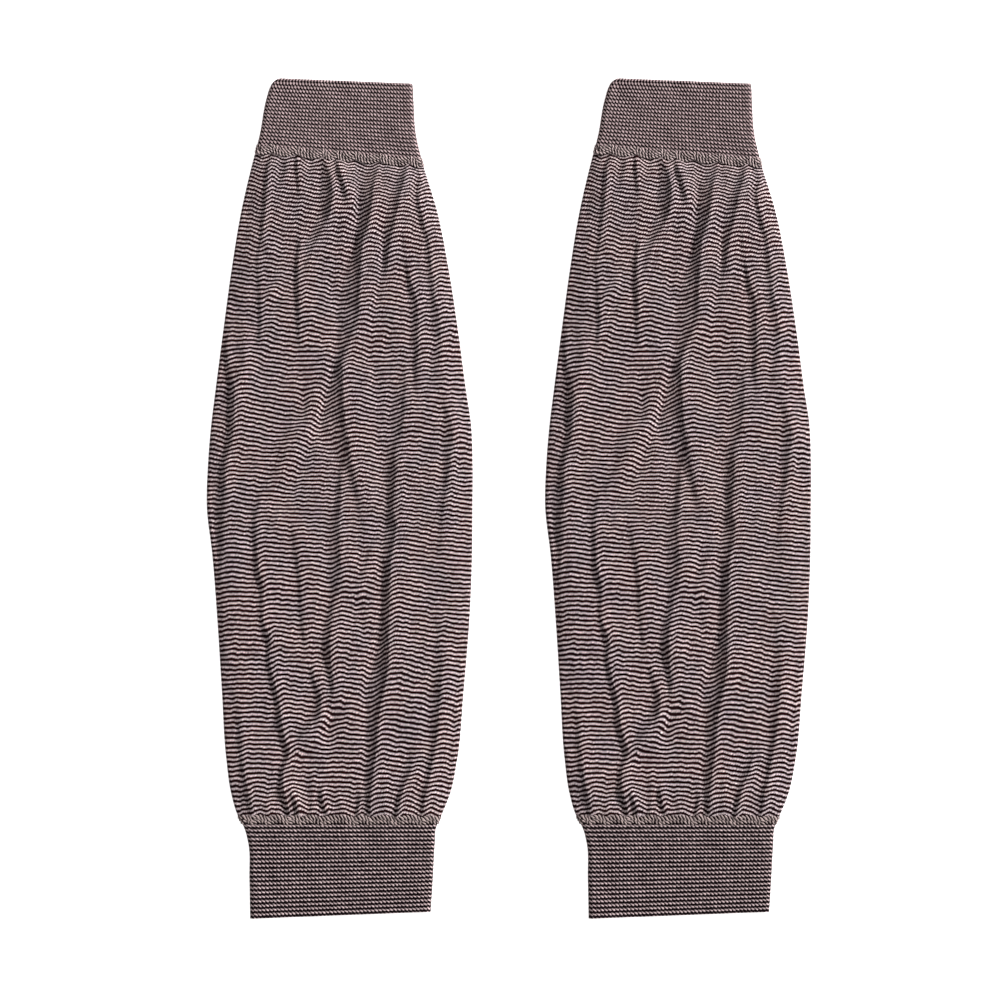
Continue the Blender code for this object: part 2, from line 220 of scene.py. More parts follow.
# The long folds, from the left side to the right
LONG_FOLDS = (
    Fold(left=1.5, right=10.0, points=(
        (-57.5, 90, 0, 1.5), (-57.4, 82, 0.74, 1.5), (-56.5, 73, 1.23, 1.5), (-55.5, 65, 1.48, 1.8),
        (-53.6, 58.5, 2.13, 2.8), (-52.9, 52, 2.46, 3), (-53.1, 44, 2.46, 3), (-53.3, 35, 2.3, 3),
        (-54, 28.5, 2.13, 2.8), (-56, 22.5, 1.8, 2.5), (-57.4, 16, 1.64, 2.5), (-57.6, 8, 1.56, 2.5),
        (-57.5, 0, 1.39, 3), (-58.4, -8, 1.31, 4), (-58.4, -17, 1.23, 5), (-58.8, -26, 1.23, 4),
        (-59.3, -36, 0.98, 2.5), (-59.5, -46, 0.82, 2), (-59.4, -56, 0.74, 1.5), (-59.1, -66, 0.66, 1.5),
        (-59, -76, 0.49, 1.5), (-59, -84, 0, 1.5))),
    Fold(left=2.0, right=5.0, points=(
        (-33, 173, 0.81, 1.2), (-34.7, 169, 1.14, 1.3), (-36, 164, 1.3, 1.4), (-36.2, 158, 1.46, 1.5),
        (-36.7, 152, 1.46, 1.7), (-37, 146, 1.3, 2), (-37.9, 139, 1.3, 2.4), (-38.5, 132, 1.14, 2),
        (-39, 127.5, 0.81, 1.4), (-40.4, 122, 0.81, 1.2), (-40.7, 115, 0.74, 1.2), (-40.4, 109, 0.81, 1.3),
        (-39.9, 103, 0.98, 1.5), (-39.6, 96, 1.14, 1.7), (-39.2, 88, 1.14, 1.7), (-39.6, 82, 0.98, 1.7),
        (-40.4, 76, 0.65, 1.7), (-41, 70, 0, 1.7))),
    Fold(left=3.0, right=8.0, points=(
        (-9, 171, 1.27, 3), (-6.3, 165.5, 1.82, 4), (-4.6, 160, 2.55, 5.5), (-3.7, 155, 2.9, 6.5),
        (-3.8, 150, 2.9, 6.5), (-4.4, 146, 2.73, 6), (-5.2, 142, 2.55, 5.5), (-6.6, 138, 2.37, 5.5),
        (-8.6, 134.5, 2.18, 5), (-10.6, 131, 2, 4.5), (-12.4, 127.5, 1.64, 4), (-13.6, 123, 1.09, 4),
        (-15, 118, 0.91, 4), (-16.5, 112, 0.55, 3), (-17.5, 106, 0, 3))),
    Fold(left=2.5, right=6.0, points=(
        (-18.8, 130.5, 0, 1.2), (-19.6, 127, 0.98, 1.5), (-20.5, 122, 1.3, 1.8), (-20.8, 117, 1.46, 2),
        (-20.9, 112, 1.62, 2.2), (-20.7, 106, 1.62, 2), (-20.4, 100, 1.54, 1.8), (-20.3, 94, 1.46, 1.7),
        (-20.3, 88, 1.14, 1.4), (-20.3, 82, 0.98, 1.2), (-20, 77, 0.81, 1.2), (-19.5, 72.5, 0, 1.2))),
    Fold(left=3.0, right=14.0, points=(
        (19.6, 168, 1.3, 4.5), (18.4, 162, 1.82, 5), (17.2, 157.5, 2.34, 6), (16.5, 153, 2.69, 6.8),
        (16.1, 148, 2.85, 6.9), (15.3, 143, 2.93, 6.2), (14.5, 139, 3, 5.8), (13.5, 135.3, 3.07, 5),
        (12.1, 131.8, 3.07, 3.8), (11.1, 128, 3.07, 3.4), (10.7, 124, 3.07, 3.6), (10.5, 118, 3.07, 5.8),
        (10.3, 112, 3, 7.2), (10.1, 106, 2.93, 8.4), (9.8, 100, 2.93, 9.3), (9.7, 94.5, 2.93, 10.8),
        (9.2, 90, 2.85, 11.5), (8, 86.5, 2.77, 10.5), (6.4, 82.7, 2.6, 8.5), (4.6, 79, 2.47, 7),
        (3.1, 75, 2.34, 5.5), (1.9, 71, 2.47, 3.8), (1.1, 67.3, 3.07, 4.4), (1, 63, 3.13, 5.2),
        (1.1, 58, 3.07, 6.4), (1.5, 52, 3, 8.5), (1.8, 46, 2.93, 10), (2.1, 40, 2.85, 11.5),
        (3, 34, 2.77, 13), (4, 28, 2.6, 12), (5.1, 22, 2.34, 7), (6.4, 16, 1.95, 4.8),
        (7.5, 10, 1.56, 3.5), (8.5, 5, 1.3, 2.6), (9.5, 0, 1.04, 2.2), (10.3, -5, 0.78, 2),
        (11, -10, 0.65, 2), (11.8, -15, 0, 2))),
    Fold(left=3.0, right=11.0, points=(
        (3, 23, 0, 2), (1.4, 16.5, 0.96, 2), (0.7, 10, 1.28, 2.2), (0.6, 5, 1.49, 3), (0.4, 0, 1.6, 3.6),
        (0.1, -6, 1.71, 4), (-0.2, -12, 1.71, 4.6), (-0.3, -20, 1.71, 5.6), (0, -28, 2.1, 6),
        (0.2, -34, 2.1, 6.2), (-0.3, -40, 2.1, 6), (-1.2, -45, 1.71, 5), (-2.2, -50, 1.6, 3.4),
        (-3.2, -55, 1.71, 3.2), (-4, -60, 1.92, 3.6), (-4.6, -65, 2.27, 4), (-5, -70, 2.52, 4.6),
        (-5.2, -75, 2.46, 3.6), (-5, -79, 2.27, 3), (-4.4, -84, 2.03, 2.2), (-3.6, -89, 1.92, 2),
        (-3.2, -94, 1.71, 1.9), (-3.6, -98, 1.28, 1.6), (-4.2, -103, 0.75, 1.5), (-4.8, -108, 0, 1.5))),
    Fold(left=3.0, right=14.0, points=(
        (33, 69, 0, 3), (33, 62, 0.75, 3), (33, 56, 1.28, 5), (32.5, 50, 1.85, 6.5), (32.2, 45, 1.98, 7.2),
        (31.8, 40, 2.1, 7.3), (31.2, 36, 2.1, 6.5), (30.6, 32, 1.81, 5.4), (29.6, 28.5, 1.81, 5),
        (28.3, 25, 1.92, 4.8), (27.7, 21, 2.13, 4.8), (27.7, 15.5, 2.4, 5.2), (27.6, 10, 2.46, 5),
        (27.2, 5, 2.4, 4.5), (26.8, 0, 2.27, 3.6), (26.8, -5, 2.27, 3.6), (27.3, -10, 2.4, 4.5),
        (27.8, -15, 2.4, 5.5), (27.2, -20, 2.63, 6.5), (26.2, -25, 2.56, 6.5), (25.4, -30, 2.27, 5),
        (25, -35, 2.52, 4), (24.8, -40, 2.71, 3.6), (24.5, -50, 2.78, 3.6), (24.2, -60, 2.81, 4.2),
        (24, -70, 2.87, 4.8), (24, -78, 3.7, 6.5), (23.8, -84, 3.89, 7.5), (23, -90, 3.61, 8.5),
        (22, -95, 3.3, 9), (21, -100, 3.13, 8.5), (19.9, -105, 2.97, 7.5), (19.1, -110, 2.78, 6.5),
        (18.6, -116, 2.34, 5.5), (18.2, -122, 2.34, 5), (17.9, -127, 2.34, 4.5), (17.3, -132, 2.27, 4.8),
        (16.8, -136, 2.27, 4.6), (16.1, -141, 2.21, 3.8), (15.5, -146, 2.13, 3.6), (15.3, -151, 1.92, 3),
        (15, -156, 1.71, 2.2), (14.8, -160, 1.28, 1.8))),
    Fold(left=2.5, right=6.0, points=(
        (-38.5, 4, 0, 2), (-40.2, -1, 0.81, 1.8), (-41.2, -6, 1.14, 1.9), (-41.9, -11, 1.3, 2),
        (-41.9, -17, 1.46, 2), (-41.6, -23, 1.46, 2.2), (-41.2, -29, 1.62, 2.2), (-40.9, -33, 1.79, 2.4),
        (-40.2, -37, 1.95, 2.4), (-38.9, -41, 1.95, 2.6), (-38.4, -45, 1.3, 2.6), (-38.9, -50, 0.81, 1.7),
        (-38.8, -56, 0.81, 1.7), (-38.4, -61, 1.14, 1.8), (-37, -65, 1.62, 2.4), (-35.5, -68.5, 1.95, 2.6),
        (-34.6, -73, 1.62, 2.2), (-35.2, -78, 1.3, 1.8), (-34.8, -83, 1.46, 1.8), (-33.8, -88, 1.62, 1.9),
        (-32.7, -92.5, 1.79, 2), (-31.4, -97, 1.79, 2.2), (-30.3, -102, 1.95, 2.4),
        (-29.7, -107, 1.95, 2.5), (-29.1, -112, 1.95, 2.6), (-28.2, -117, 2.11, 2.6),
        (-27, -121, 2.27, 2.5), (-25.6, -124.5, 2.27, 2.6), (-25.7, -128, 1.95, 2.2),
        (-26.8, -131.5, 1.46, 1.8), (-28, -135, 1.62, 1.8), (-28.4, -140, 1.79, 1.8),
        (-28.3, -145, 2.11, 1.8), (-27.4, -149, 2.11, 1.8), (-26.2, -153, 1.95, 1.8),
        (-25.3, -157, 1.62, 1.6), (-25, -160, 1.3, 1.5))),
    Fold(left=2.5, right=6.0, points=(
        (-23.3, -9, 0, 1.5), (-23.1, -16, 0.65, 1.5), (-22.5, -22, 0.81, 1.5), (-21.5, -27.5, 0.98, 1.6),
        (-20.8, -32, 1.14, 1.7), (-19.9, -37.5, 1.3, 1.8), (-19.6, -44, 1.14, 1.8),
        (-19.2, -50, 1.14, 1.8), (-18.9, -56, 0.98, 1.7), (-18.4, -62, 0.98, 1.7), (-17.7, -68, 0.98, 1.7),
        (-17, -73, 0.65, 1.6), (-16.3, -78, 0, 1.5))),
    Fold(left=4.0, right=5.0, points=(
        (-14.8, -81, 0, 1.5), (-13.8, -85, 0.81, 1.6), (-12.8, -89.5, 1.3, 1.8), (-11.3, -93.5, 1.46, 2.4),
        (-9.6, -98, 1.79, 3), (-9, -102.5, 1.95, 3.6), (-9.6, -107, 1.95, 4.2), (-11.2, -110.3, 1.95, 4.5),
        (-13.8, -113.5, 1.95, 4.5), (-16.5, -117, 2.11, 4), (-19, -120, 2.11, 3.5), (-21.5, -123, 1.79, 3),
        (-23.8, -126, 0, 2.5)), brow=1.7),
    Fold(left=2.5, right=7.0, points=(
        (34.2, 171, 1.46, 2.5), (33, 163, 1.79, 2.8), (31.9, 158, 1.95, 3.4), (30.8, 153.5, 2.11, 4.6),
        (30, 149.5, 2.11, 5.4), (28.9, 144.5, 2.11, 5), (27.8, 140, 2.11, 4.8), (26.8, 135.5, 2.11, 4.6),
        (25.9, 131, 2.11, 4.3), (25, 126.5, 1.95, 3.8), (24.4, 122, 1.62, 2.8), (23.8, 117.5, 1.14, 2.2),
        (23, 112, 0, 2))),
    Fold(left=2.5, right=6.0, points=(
        (40.6, 163, 0.81, 2), (40.2, 157.5, 1.46, 2.2), (39.6, 152, 1.62, 2), (39.8, 147, 1.62, 2),
        (41, 142, 1.46, 2), (42.3, 136, 1.3, 2), (43.9, 131, 1.3, 2.2), (44.8, 126, 1.3, 2.6),
        (45.4, 120, 1.3, 3), (46, 115, 1.14, 2.5), (46.6, 109, 1.14, 2), (47, 103.5, 1.14, 2.6),
        (47.8, 98, 1.3, 3.2), (49, 93, 1.3, 3.8), (49.8, 88, 1.3, 4), (50.2, 83, 1.3, 4),
        (50.1, 77, 1.14, 3.6), (49.8, 71.5, 1.14, 3), (49, 66, 0.98, 2.2), (48, 60, 0.65, 1.8),
        (47, 54, 0, 1.5))),
    Fold(left=2.5, right=6.0, points=(
        (32, 141, 0, 1.5), (32.2, 130, 0.49, 1.5), (33, 122, 0.65, 1.5), (34.2, 114, 0.98, 1.6),
        (35.2, 109, 1.3, 1.8), (36.4, 104.5, 1.46, 2.2), (37.8, 100.5, 1.62, 3), (38.6, 96, 1.79, 3.8),
        (38.8, 90, 1.79, 4.2), (39, 84, 1.79, 4), (39.1, 78, 1.79, 3.6), (39.1, 72, 1.62, 3),
        (38.8, 66, 1.46, 2.2), (38.8, 60, 1.3, 1.8), (39.3, 54, 0.81, 1.8), (39.5, 49, 0, 1.8))),
    Fold(left=2.5, right=5.0, points=(
        (50.8, 52, 0, 2), (52.8, 46, 0.81, 2.2), (54.6, 41, 1.3, 3.4), (56.2, 36.5, 1.62, 4.8),
        (56.6, 32, 1.79, 5.2), (56.2, 27, 1.79, 5), (55.4, 21.5, 1.79, 4.4), (54.5, 15.5, 1.62, 3.6),
        (53.9, 9.5, 1.46, 2.6), (52.9, 3.5, 1.3, 2.2), (52.2, -3, 0.98, 2), (51.6, -10, 0.81, 2),
        (51.5, -18, 0.65, 2), (51.3, -26, 0.49, 2), (51, -34, 0, 2))),
    Fold(left=3.0, right=7.0, points=(
        (50, -52, 0, 2), (49.6, -60, 0.65, 2.2), (49.6, -68, 0.81, 2.6), (50.4, -76, 1.14, 3.6),
        (50.9, -84, 1.3, 4.6), (50.8, -92, 1.46, 5.2), (50.2, -100, 1.62, 5.2), (49.3, -107, 1.62, 4.8),
        (48.9, -113, 1.62, 4.2), (48.4, -119, 1.79, 3.4), (47.6, -124, 1.79, 2.8),
        (46.4, -130.5, 1.62, 2.4), (45.3, -137, 1.62, 2.2), (43.8, -143, 1.46, 2), (42.5, -149, 1.3, 1.8),
        (41.8, -154, 1.3, 1.6), (41.2, -159, 1.14, 1.4))),
    Fold(left=2.0, right=3.0, points=(
        (62, -62, 0, 1.5), (61.6, -74, 0.65, 1.8), (60.8, -85, 0.81, 2), (60.2, -96, 0.98, 2),
        (59.6, -106, 1.14, 2.4), (59.4, -116, 1.3, 2.8), (58.8, -124, 1.3, 2.8), (57.8, -131, 1.3, 2.6),
        (56.8, -138, 1.14, 2.2), (55, -145, 0, 1.8))),
)

# Thin lines between two swellings of the cloth
VALLEYS = (
    Valley(left=2.5, right=1.2, points=(
        (-19.3, 68, 0), (-19.2, 62, 0.33), (-18.8, 55, 0.39), (-18, 49, 0.65), (-17.9, 45, 0.72),
        (-18.8, 41, 0.52), (-20.2, 37.5, 0.26), (-22, 34, 0))),
    Valley(left=2.0, right=1.1, points=(
        (0.2, 162, 0), (0.5, 157, 0.26), (0.5, 150, 0.45), (0.2, 146, 0.59), (-0.5, 141, 0.65),
        (-1, 136, 0.65), (-1.1, 131, 0.52), (-1.3, 126, 0.39), (-2, 120, 0.39), (-3, 113, 0.39),
        (-3.6, 106, 0.39), (-4, 100, 0.39), (-4.3, 92, 0))),
    Valley(left=2.0, right=1.0, points=(
        (7.5, 172, 0.39), (8.5, 165, 0.39), (9, 158, 0.39), (9.2, 150, 0.39), (9, 143, 0.39),
        (8.5, 136, 0.39), (8, 130, 0))),
    Valley(left=2.0, right=1.3, points=(
        (21, 173, 0.65), (21.5, 167, 0.78), (21.3, 160, 0.65), (20.8, 154, 0.45), (20.5, 149, 0.33),
        (20.7, 143, 0.33), (21, 137, 0.39), (21.3, 131, 0.45), (21.8, 126, 0.52), (21.8, 121, 0.59),
        (21.5, 116, 0.59), (20.7, 110, 0.52), (19.9, 103, 0.52), (19, 97, 0.45), (18, 91, 0.45),
        (17, 85, 0.39), (16, 79, 0.33), (15.2, 73, 0.39), (15.3, 69.5, 0.45), (17, 65.5, 0.52),
        (18.5, 61, 0.52), (19, 55, 0.52), (19.2, 48, 0.45), (19.3, 40, 0.39), (19.5, 30, 0.39),
        (19.5, 20, 0.33), (19.5, 12, 0.26), (19.8, 5, 0))),
    Valley(left=2.5, right=1.5, points=(
        (-5, 62, 0.26), (-6, 56, 0.39), (-7.5, 49, 0.52), (-9.2, 41.5, 0.52), (-11.5, 34.5, 0.59),
        (-14.2, 28, 0.72), (-16.6, 22, 0.65), (-19, 16, 0.52), (-21, 10, 0.52), (-22.5, 4, 0.39),
        (-25, -2, 0))),
    Valley(left=2.8, right=3.4, points=(
        (-4.2, -99, 0), (-4.6, -104, 0.4), (-4.9, -110, 0.6), (-5.4, -115, 0.7), (-6.1, -119, 0.7),
        (-7.2, -122.5, 0.5), (-8.8, -125.5, 0.3), (-10, -127, 0))),
    Valley(left=1.5, right=1.2, points=(
        (9, -46.5, 0), (8.2, -51, 0.52), (7.2, -56, 0.59), (6.6, -61, 0.45), (6.3, -66, 0))),
    Valley(left=1.5, right=1.5, points=(
        (9.8, -48, 0), (10, -54, 0.52), (10.6, -60, 0.59), (11.6, -65, 0.52), (13, -69.5, 0.52),
        (14.8, -74, 0))),
    Valley(left=2.0, right=1.5, points=(
        (10.8, -18, 0), (11.2, -25, 0.33), (11.2, -32, 0.39), (10.6, -39, 0.26), (10, -44, 0))),
    Valley(left=2.0, right=1.6, points=(
        (59, 34, 0), (59, 27, 0.52), (59.4, 20, 0.59), (60, 13, 0.59), (60.2, 6, 0.39), (60.5, -2, 0))),
)

# Slanting creases and crumples between the long folds
SMALL_FOLDS = (
    Crumple(left=2.0, right=5.0, points=(
        (-49, 87, 0, 3), (-48.2, 82, 0.91, 4), (-47.5, 76, 1.3, 5), (-47.4, 70, 1.56, 6),
        (-48.4, 64.5, 1.56, 5), (-50, 60.5, 1.17, 3.5), (-52.5, 57, 0, 2))),
    Crumple(left=2.0, right=3.0, points=(
        (-28, 112, 0, 2.5), (-31.3, 109, 1.04, 2.5), (-33.8, 105.5, 1.43, 2.8), (-36, 102.5, 1.3, 2.5),
        (-38.7, 100, 0, 2))),
    Crumple(left=2.0, right=2.5, points=(
        (-25, 104, 0, 2), (-27.5, 99.5, 0.65, 2.5), (-30, 95.5, 0.78, 2.8), (-32.5, 90.5, 0.52, 2.5),
        (-34.5, 86, 0, 2))),
    Crumple(left=2.0, right=3.0, points=(
        (-39, 126, 0, 2.5), (-36.6, 124.2, 0.65, 3), (-34.5, 122, 0.65, 3), (-32.5, 119.5, 0, 2.5))),
    Crumple(left=3.0, right=4.0, points=(
        (-21, 41, 0, 2.5), (-23.2, 36.5, 0.91, 3), (-25.8, 32.5, 1.3, 3.5), (-28.3, 28, 1.3, 3.8),
        (-31.5, 24, 0.91, 3.5), (-35.5, 20.5, 0.65, 3), (-39.5, 17, 0.91, 3.2), (-43.5, 13.5, 1.04, 3.2),
        (-47, 11, 0.91, 3), (-50.5, 9, 0, 2.5))),
    Crumple(left=3.0, right=4.0, points=(
        (-25, 28, 0, 2.5), (-27.3, 22, 0.78, 2.8), (-29.5, 16.5, 0.91, 2.8), (-32, 11.5, 0.91, 2.8),
        (-34.6, 7.5, 0.91, 2.8), (-37.5, 4, 0.52, 2.2), (-40, 0.5, 0, 2))),
    Crumple(left=2.0, right=3.0, points=(
        (-20.5, 14, 0, 2), (-21.8, 9.5, 0.65, 2.5), (-22.3, 4.5, 0.78, 2.8), (-24.5, 0, 0.39, 2.5),
        (-27, -4, 0, 2))),
    Crumple(left=3.0, right=4.0, points=(
        (-27, -2, 0, 2.5), (-29.5, -8, 0.39, 2.8), (-32, -13, 0.45, 2.8), (-36, -17, 0.39, 2.5),
        (-39, -19, 0, 2))),
    Crumple(left=2.5, right=3.0, points=(
        (-26, -32.5, 0, 2), (-28.5, -35.5, 0.65, 2.5), (-30.5, -38.5, 0.78, 2.8), (-33, -42, 0.52, 2.5),
        (-35, -45, 0, 2))),
    Crumple(left=2.5, right=4.0, points=(
        (22, -13, 0, 2.5), (19.5, -19, 0.52, 2.6), (17.2, -24.5, 0.78, 2.8), (15.2, -30, 0.91, 2.8),
        (13.2, -35.5, 1.17, 2.8), (11, -40.5, 1.04, 2.4), (9.5, -45, 0.91, 2), (8.3, -49, 0, 2))),
    Crumple(left=2.5, right=5.0, points=(
        (8.5, -96, 0, 3), (5.8, -101, 0.65, 3), (3, -106, 1.04, 3.2), (0.2, -110, 1.17, 3.4),
        (-2.5, -113.5, 1.17, 3.2), (-4.5, -117, 0.78, 2.5), (-6, -120.5, 0, 2))),
    Crumple(left=3.0, right=4.0, points=(
        (-19, -126, 0, 3), (-16, -125.5, 0.91, 3.5), (-12, -124.8, 1.17, 3.5), (-8.5, -124, 0.91, 3),
        (-6, -121.5, 0, 2.5))),
)

# Gathers held in the seams
GATHERS = (
    Fold(left=2.0, right=2.5, points=(
        (-36.5, 171, 0, 2), (-39, 168, 0.65, 2), (-41.5, 165, 0.81, 2), (-44, 161, 0, 2))),
    Fold(left=2.0, right=3.0, points=(
        (-25.8, 172, 0.65, 2.2), (-26.8, 166, 0.81, 2.6), (-27.8, 160, 0.81, 2.6), (-29.3, 155, 0.65, 2.4),
        (-31, 150, 0, 2))),
    Fold(left=1.5, right=2.5, points=(
        (-21.3, 173, 1.46, 1.2), (-21.1, 168, 1.46, 1.2), (-20.8, 162, 1.3, 1.2), (-20.3, 156, 0.98, 1.2),
        (-20.1, 150, 0.56, 1.2), (-20.8, 144, 0.41, 1.2), (-22, 138, 0, 1.2))),
    Fold(left=1.5, right=2.5, points=((-13, 172, 0.81, 1.6), (-13, 167, 0.56, 1.6), (-13.5, 161, 0, 1.6))),
    Fold(left=2.0, right=3.5, points=(
        (-2.2, 173, 0.98, 1.3), (-1, 168, 1.46, 1.6), (0.6, 162, 1.79, 1.8), (2, 157.5, 1.79, 2),
        (3.4, 152.5, 1.3, 2), (4.6, 147.5, 0.65, 2.2), (5.6, 142, 0, 2.2))),
    Fold(left=2.5, right=5.0, points=(
        (39, -119, 0, 3), (38, -125.5, 0.98, 4), (36.8, -131, 1.46, 4.5), (34.9, -137, 1.79, 3.6),
        (32.8, -142, 2.11, 2.8), (31, -147, 1.95, 2.2), (29.9, -152, 1.79, 1.8), (28.7, -156.5, 1.79, 1.6),
        (28, -160, 1.3, 1.4))),
    Fold(left=2.0, right=4.0, points=(
        (-50.5, -104, 0, 1.5), (-49.9, -112, 0.49, 1.6), (-49.3, -119, 0.65, 1.7),
        (-48.7, -127, 0.81, 1.8), (-47.9, -135, 0.98, 1.8), (-46.6, -142, 0.98, 1.8),
        (-45.4, -148, 0.98, 1.8), (-44.6, -154, 0.81, 1.6), (-44, -160, 0.65, 1.5))),
    Fold(left=1.5, right=3.0, points=(
        (-24.8, -144, 0, 1.5), (-23.4, -148, 1.46, 1.5), (-21.8, -152, 1.95, 1.5),
        (-20.8, -156, 1.79, 1.5), (-20.4, -160, 1.14, 1.3))),
    Fold(left=1.5, right=3.0, points=(
        (-9.3, -142, 0, 1.2), (-9.1, -147, 1.46, 1.3), (-8.4, -151.5, 1.62, 1.3), (-7.3, -155, 1.3, 1.3),
        (-5.8, -159, 0.81, 1.2))),
    Fold(left=1.5, right=2.5, points=(
        (10.8, -145, 0, 1.2), (10.2, -150, 1.14, 1.2), (9.3, -155, 1.46, 1.2), (8.3, -160, 1.14, 1.2))),
    Fold(left=2.0, right=2.5, points=(
        (-14, -132, 0, 1.5), (-14.2, -140, 0.65, 1.7), (-13.9, -147, 0.81, 1.8), (-14, -154, 0.81, 1.8),
        (-14.5, -160, 0.49, 1.5))),
    Fold(left=2.0, right=2.5, points=(
        (22, -134, 0, 2), (22, -140, 0.49, 2), (22.5, -147, 0.41, 2), (22.5, -159, 0.49, 1.5))),
    Fold(left=2.0, right=2.5, points=((-36.5, -146, 0, 2), (-36, -153, 0.65, 2), (-36, -160, 0.65, 1.8))),
    Fold(left=2.0, right=2.5, points=((-1.2, -142, 0, 1.8), (-1, -149, 0.65, 1.8), (0.3, -157, 0.49, 1.5))),
)

# Soft raised creases, and hollows where the height is below 0
RIDGES = (
    Ridge(left=5.0, right=4.5, points=(
        (-4.2, 80, 0), (-5.2, 73, 0.6), (-6.2, 66, 0.9), (-7.8, 59, 1.0), (-10, 52, 1.1), (-12.5, 45, 1.2),
        (-15.5, 38, 1.3), (-19, 30.5, 1.3), (-23, 22.5, 1.1), (-27.5, 14, 0.8), (-33, 5.5, 0.4),
        (-38, -1, 0))),
    Ridge(left=3.0, right=2.6, points=(
        (-6.6, -92, 0), (-6.8, -98, 0.3), (-7.1, -103, 0.4), (-7.3, -108, 0.4), (-7.8, -113, 0.3),
        (-9.5, -118, 0.2), (-12, -122, 0))),
    Ridge(left=2.5, right=2.5, points=((-31, 131.5, 0), (-34, 129, 0.4), (-37, 126.5, 0.4), (-40, 124, 0))),
    Ridge(left=2.8, right=2.8, points=(
        (-53, -33, 0), (-49.5, -34, -0.5), (-46, -34.3, -0.6), (-42, -33, 0))),
    Ridge(left=2.4, right=2.8, points=((-39, -43, 0), (-36.5, -43, -0.5), (-34, -42, -0.5), (-30, -38, 0))),
    Ridge(left=3.0, right=3.0, points=((-36, -56, 0), (-31, -54, -0.4), (-27, -51.5, -0.4), (-22, -51, 0))),
    Ridge(left=2.8, right=3.2, points=((-55, -78, 0), (-50, -79, -0.6), (-46, -79.5, -0.6), (-40, -80, 0))),
    Ridge(left=4.0, right=4.5, points=(
        (-46, -112, 0), (-41, -114, -0.8), (-36, -114.5, -0.9), (-31, -112, 0))),
    Ridge(left=3.0, right=3.4, points=(
        (-24, -102, 0), (-19, -103, -0.5), (-14.5, -103, -0.5), (-12, -102, 0))),
    Ridge(left=3.2, right=3.2, points=((30, -68, 0), (36, -69.5, -0.4), (42, -69.5, -0.4), (47, -68, 0))),
    Ridge(left=3.0, right=3.0, points=((48, -40.5, 0), (52, -41.5, -0.5), (56, -41, -0.5), (61, -40, 0))),
)

# How low the stripes hang across the sleeve, apart from what the folds do to them
COURSE_GUIDES = (
    CourseGuide(points=(
        (-30, 162, 1.1), (-35, 149, 1.4), (-38, 137, 1.4), (-38, 124, 1.9), (-38, 99, 1.5), (-45, 69, 1.0),
        (-45, 39, 1.8), (-45, 9, 1.0), (-45, -21, 0.2), (-45, -61, -0.3), (-42, -96, -0.3),
        (-38, -126, -1.3), (-35, -153, -2.0))),
    CourseGuide(points=(
        (-10, 162, 1.7), (-12, 149, 2.2), (-15, 137, 3.2), (-18, 124, 3.2), (-18, 99, 2.4), (-20, 69, 3.0),
        (-22, 39, 3.1), (-20, 9, 2.0), (-25, -21, -0.7), (-25, -61, -1.0), (-22, -96, -1.0),
        (-18, -126, -1.4), (-15, -153, -1.7))),
    CourseGuide(points=(
        (10, 162, 0.9), (8, 149, 0.8), (5, 137, 2.7), (0, 124, 3.2), (2, 99, 3.3), (0, 69, 3.2),
        (-2, 39, 3.5), (0, 9, 2.4), (-5, -21, -0.8), (-5, -61, -1.0), (-3, -96, -1.7), (0, -126, -2.0),
        (2, -153, -2.2))),
    CourseGuide(points=(
        (20, 162, 0.4), (25, 149, 1.1), (22, 137, 2.4), (18, 124, 4.1), (20, 99, 3.3), (18, 69, 4.1),
        (16, 39, 3.2), (18, 9, 2.3), (12, -21, -1.0), (12, -61, -1.7), (15, -96, -1.3), (16, -126, -1.6),
        (16, -153, -1.9))),
    CourseGuide(points=(
        (31, 162, 0.2), (38, 149, 1.7), (36, 137, 2.5), (35, 124, 3.5), (35, 99, 3.8), (38, 69, 3.1),
        (36, 39, 2.1), (38, 9, 2.3), (35, -21, -0.4), (35, -61, -1.8), (36, -96, -1.6), (35, -126, -1.1),
        (34, -153, -2.3))),
)

# The same along the right edge, as (y, sag)
RIGHT_EDGE_SAG = ((162, -0.4), (149, 1.4), (124, 1.5), (99, 0.2), (69, 1.6), (39, 2.4), (9, 3.2), (-21, 1.6),
                  (-61, -0.5), (-96, -0.3), (-126, 0.1), (-153, -1.3))

# How much of the sleeve's length one dark and one pale course take, as (y, length)
COURSE_SPACING = ((-160, 2.46), (-110, 2.43), (-30, 2.36), (20, 2.24), (90, 2.28), (125, 2.16), (150, 2.02),
                  (173, 2.1))

# Where the gathers are held along the seams
WRIST_GATHERS = (-44, -34, -21.5, -8.5, -1.5, 7.5, 20, 35, 44)
ARM_GATHERS = (-50, -44, -36, -25.5, -19.5, -9.4, 7.5, 14.7, 28.4, 41.2, 50)

# Soft creases on the back layer, where it lifts off the surface
BACK_CREASES = (
    BackCrease(start=(-30, 165), end=(-38, 90), width=4.0, lift=0.7),
    BackCrease(start=(-8, 165), end=(-4, 60), width=4.5, lift=0.8),
    BackCrease(start=(14, 162), end=(22, 70), width=4.0, lift=0.6),
    BackCrease(start=(32, 160), end=(40, 95), width=3.5, lift=0.7),
    BackCrease(start=(-40, 60), end=(-46, -30), width=5.0, lift=0.6),
    BackCrease(start=(-14, 70), end=(-20, -70), width=5.5, lift=0.8),
    BackCrease(start=(10, 40), end=(4, -60), width=5.0, lift=0.7),
    BackCrease(start=(36, 60), end=(44, -20), width=5.0, lift=0.6),
    BackCrease(start=(-42, -70), end=(-36, -155), width=4.0, lift=0.7),
    BackCrease(start=(-16, -90), end=(-12, -156), width=4.0, lift=0.8),
    BackCrease(start=(12, -80), end=(10, -156), width=4.5, lift=0.7),
    BackCrease(start=(34, -60), end=(28, -156), width=4.5, lift=0.8),
    BackCrease(start=(52, -70), end=(44, -150), width=3.5, lift=0.5),
)


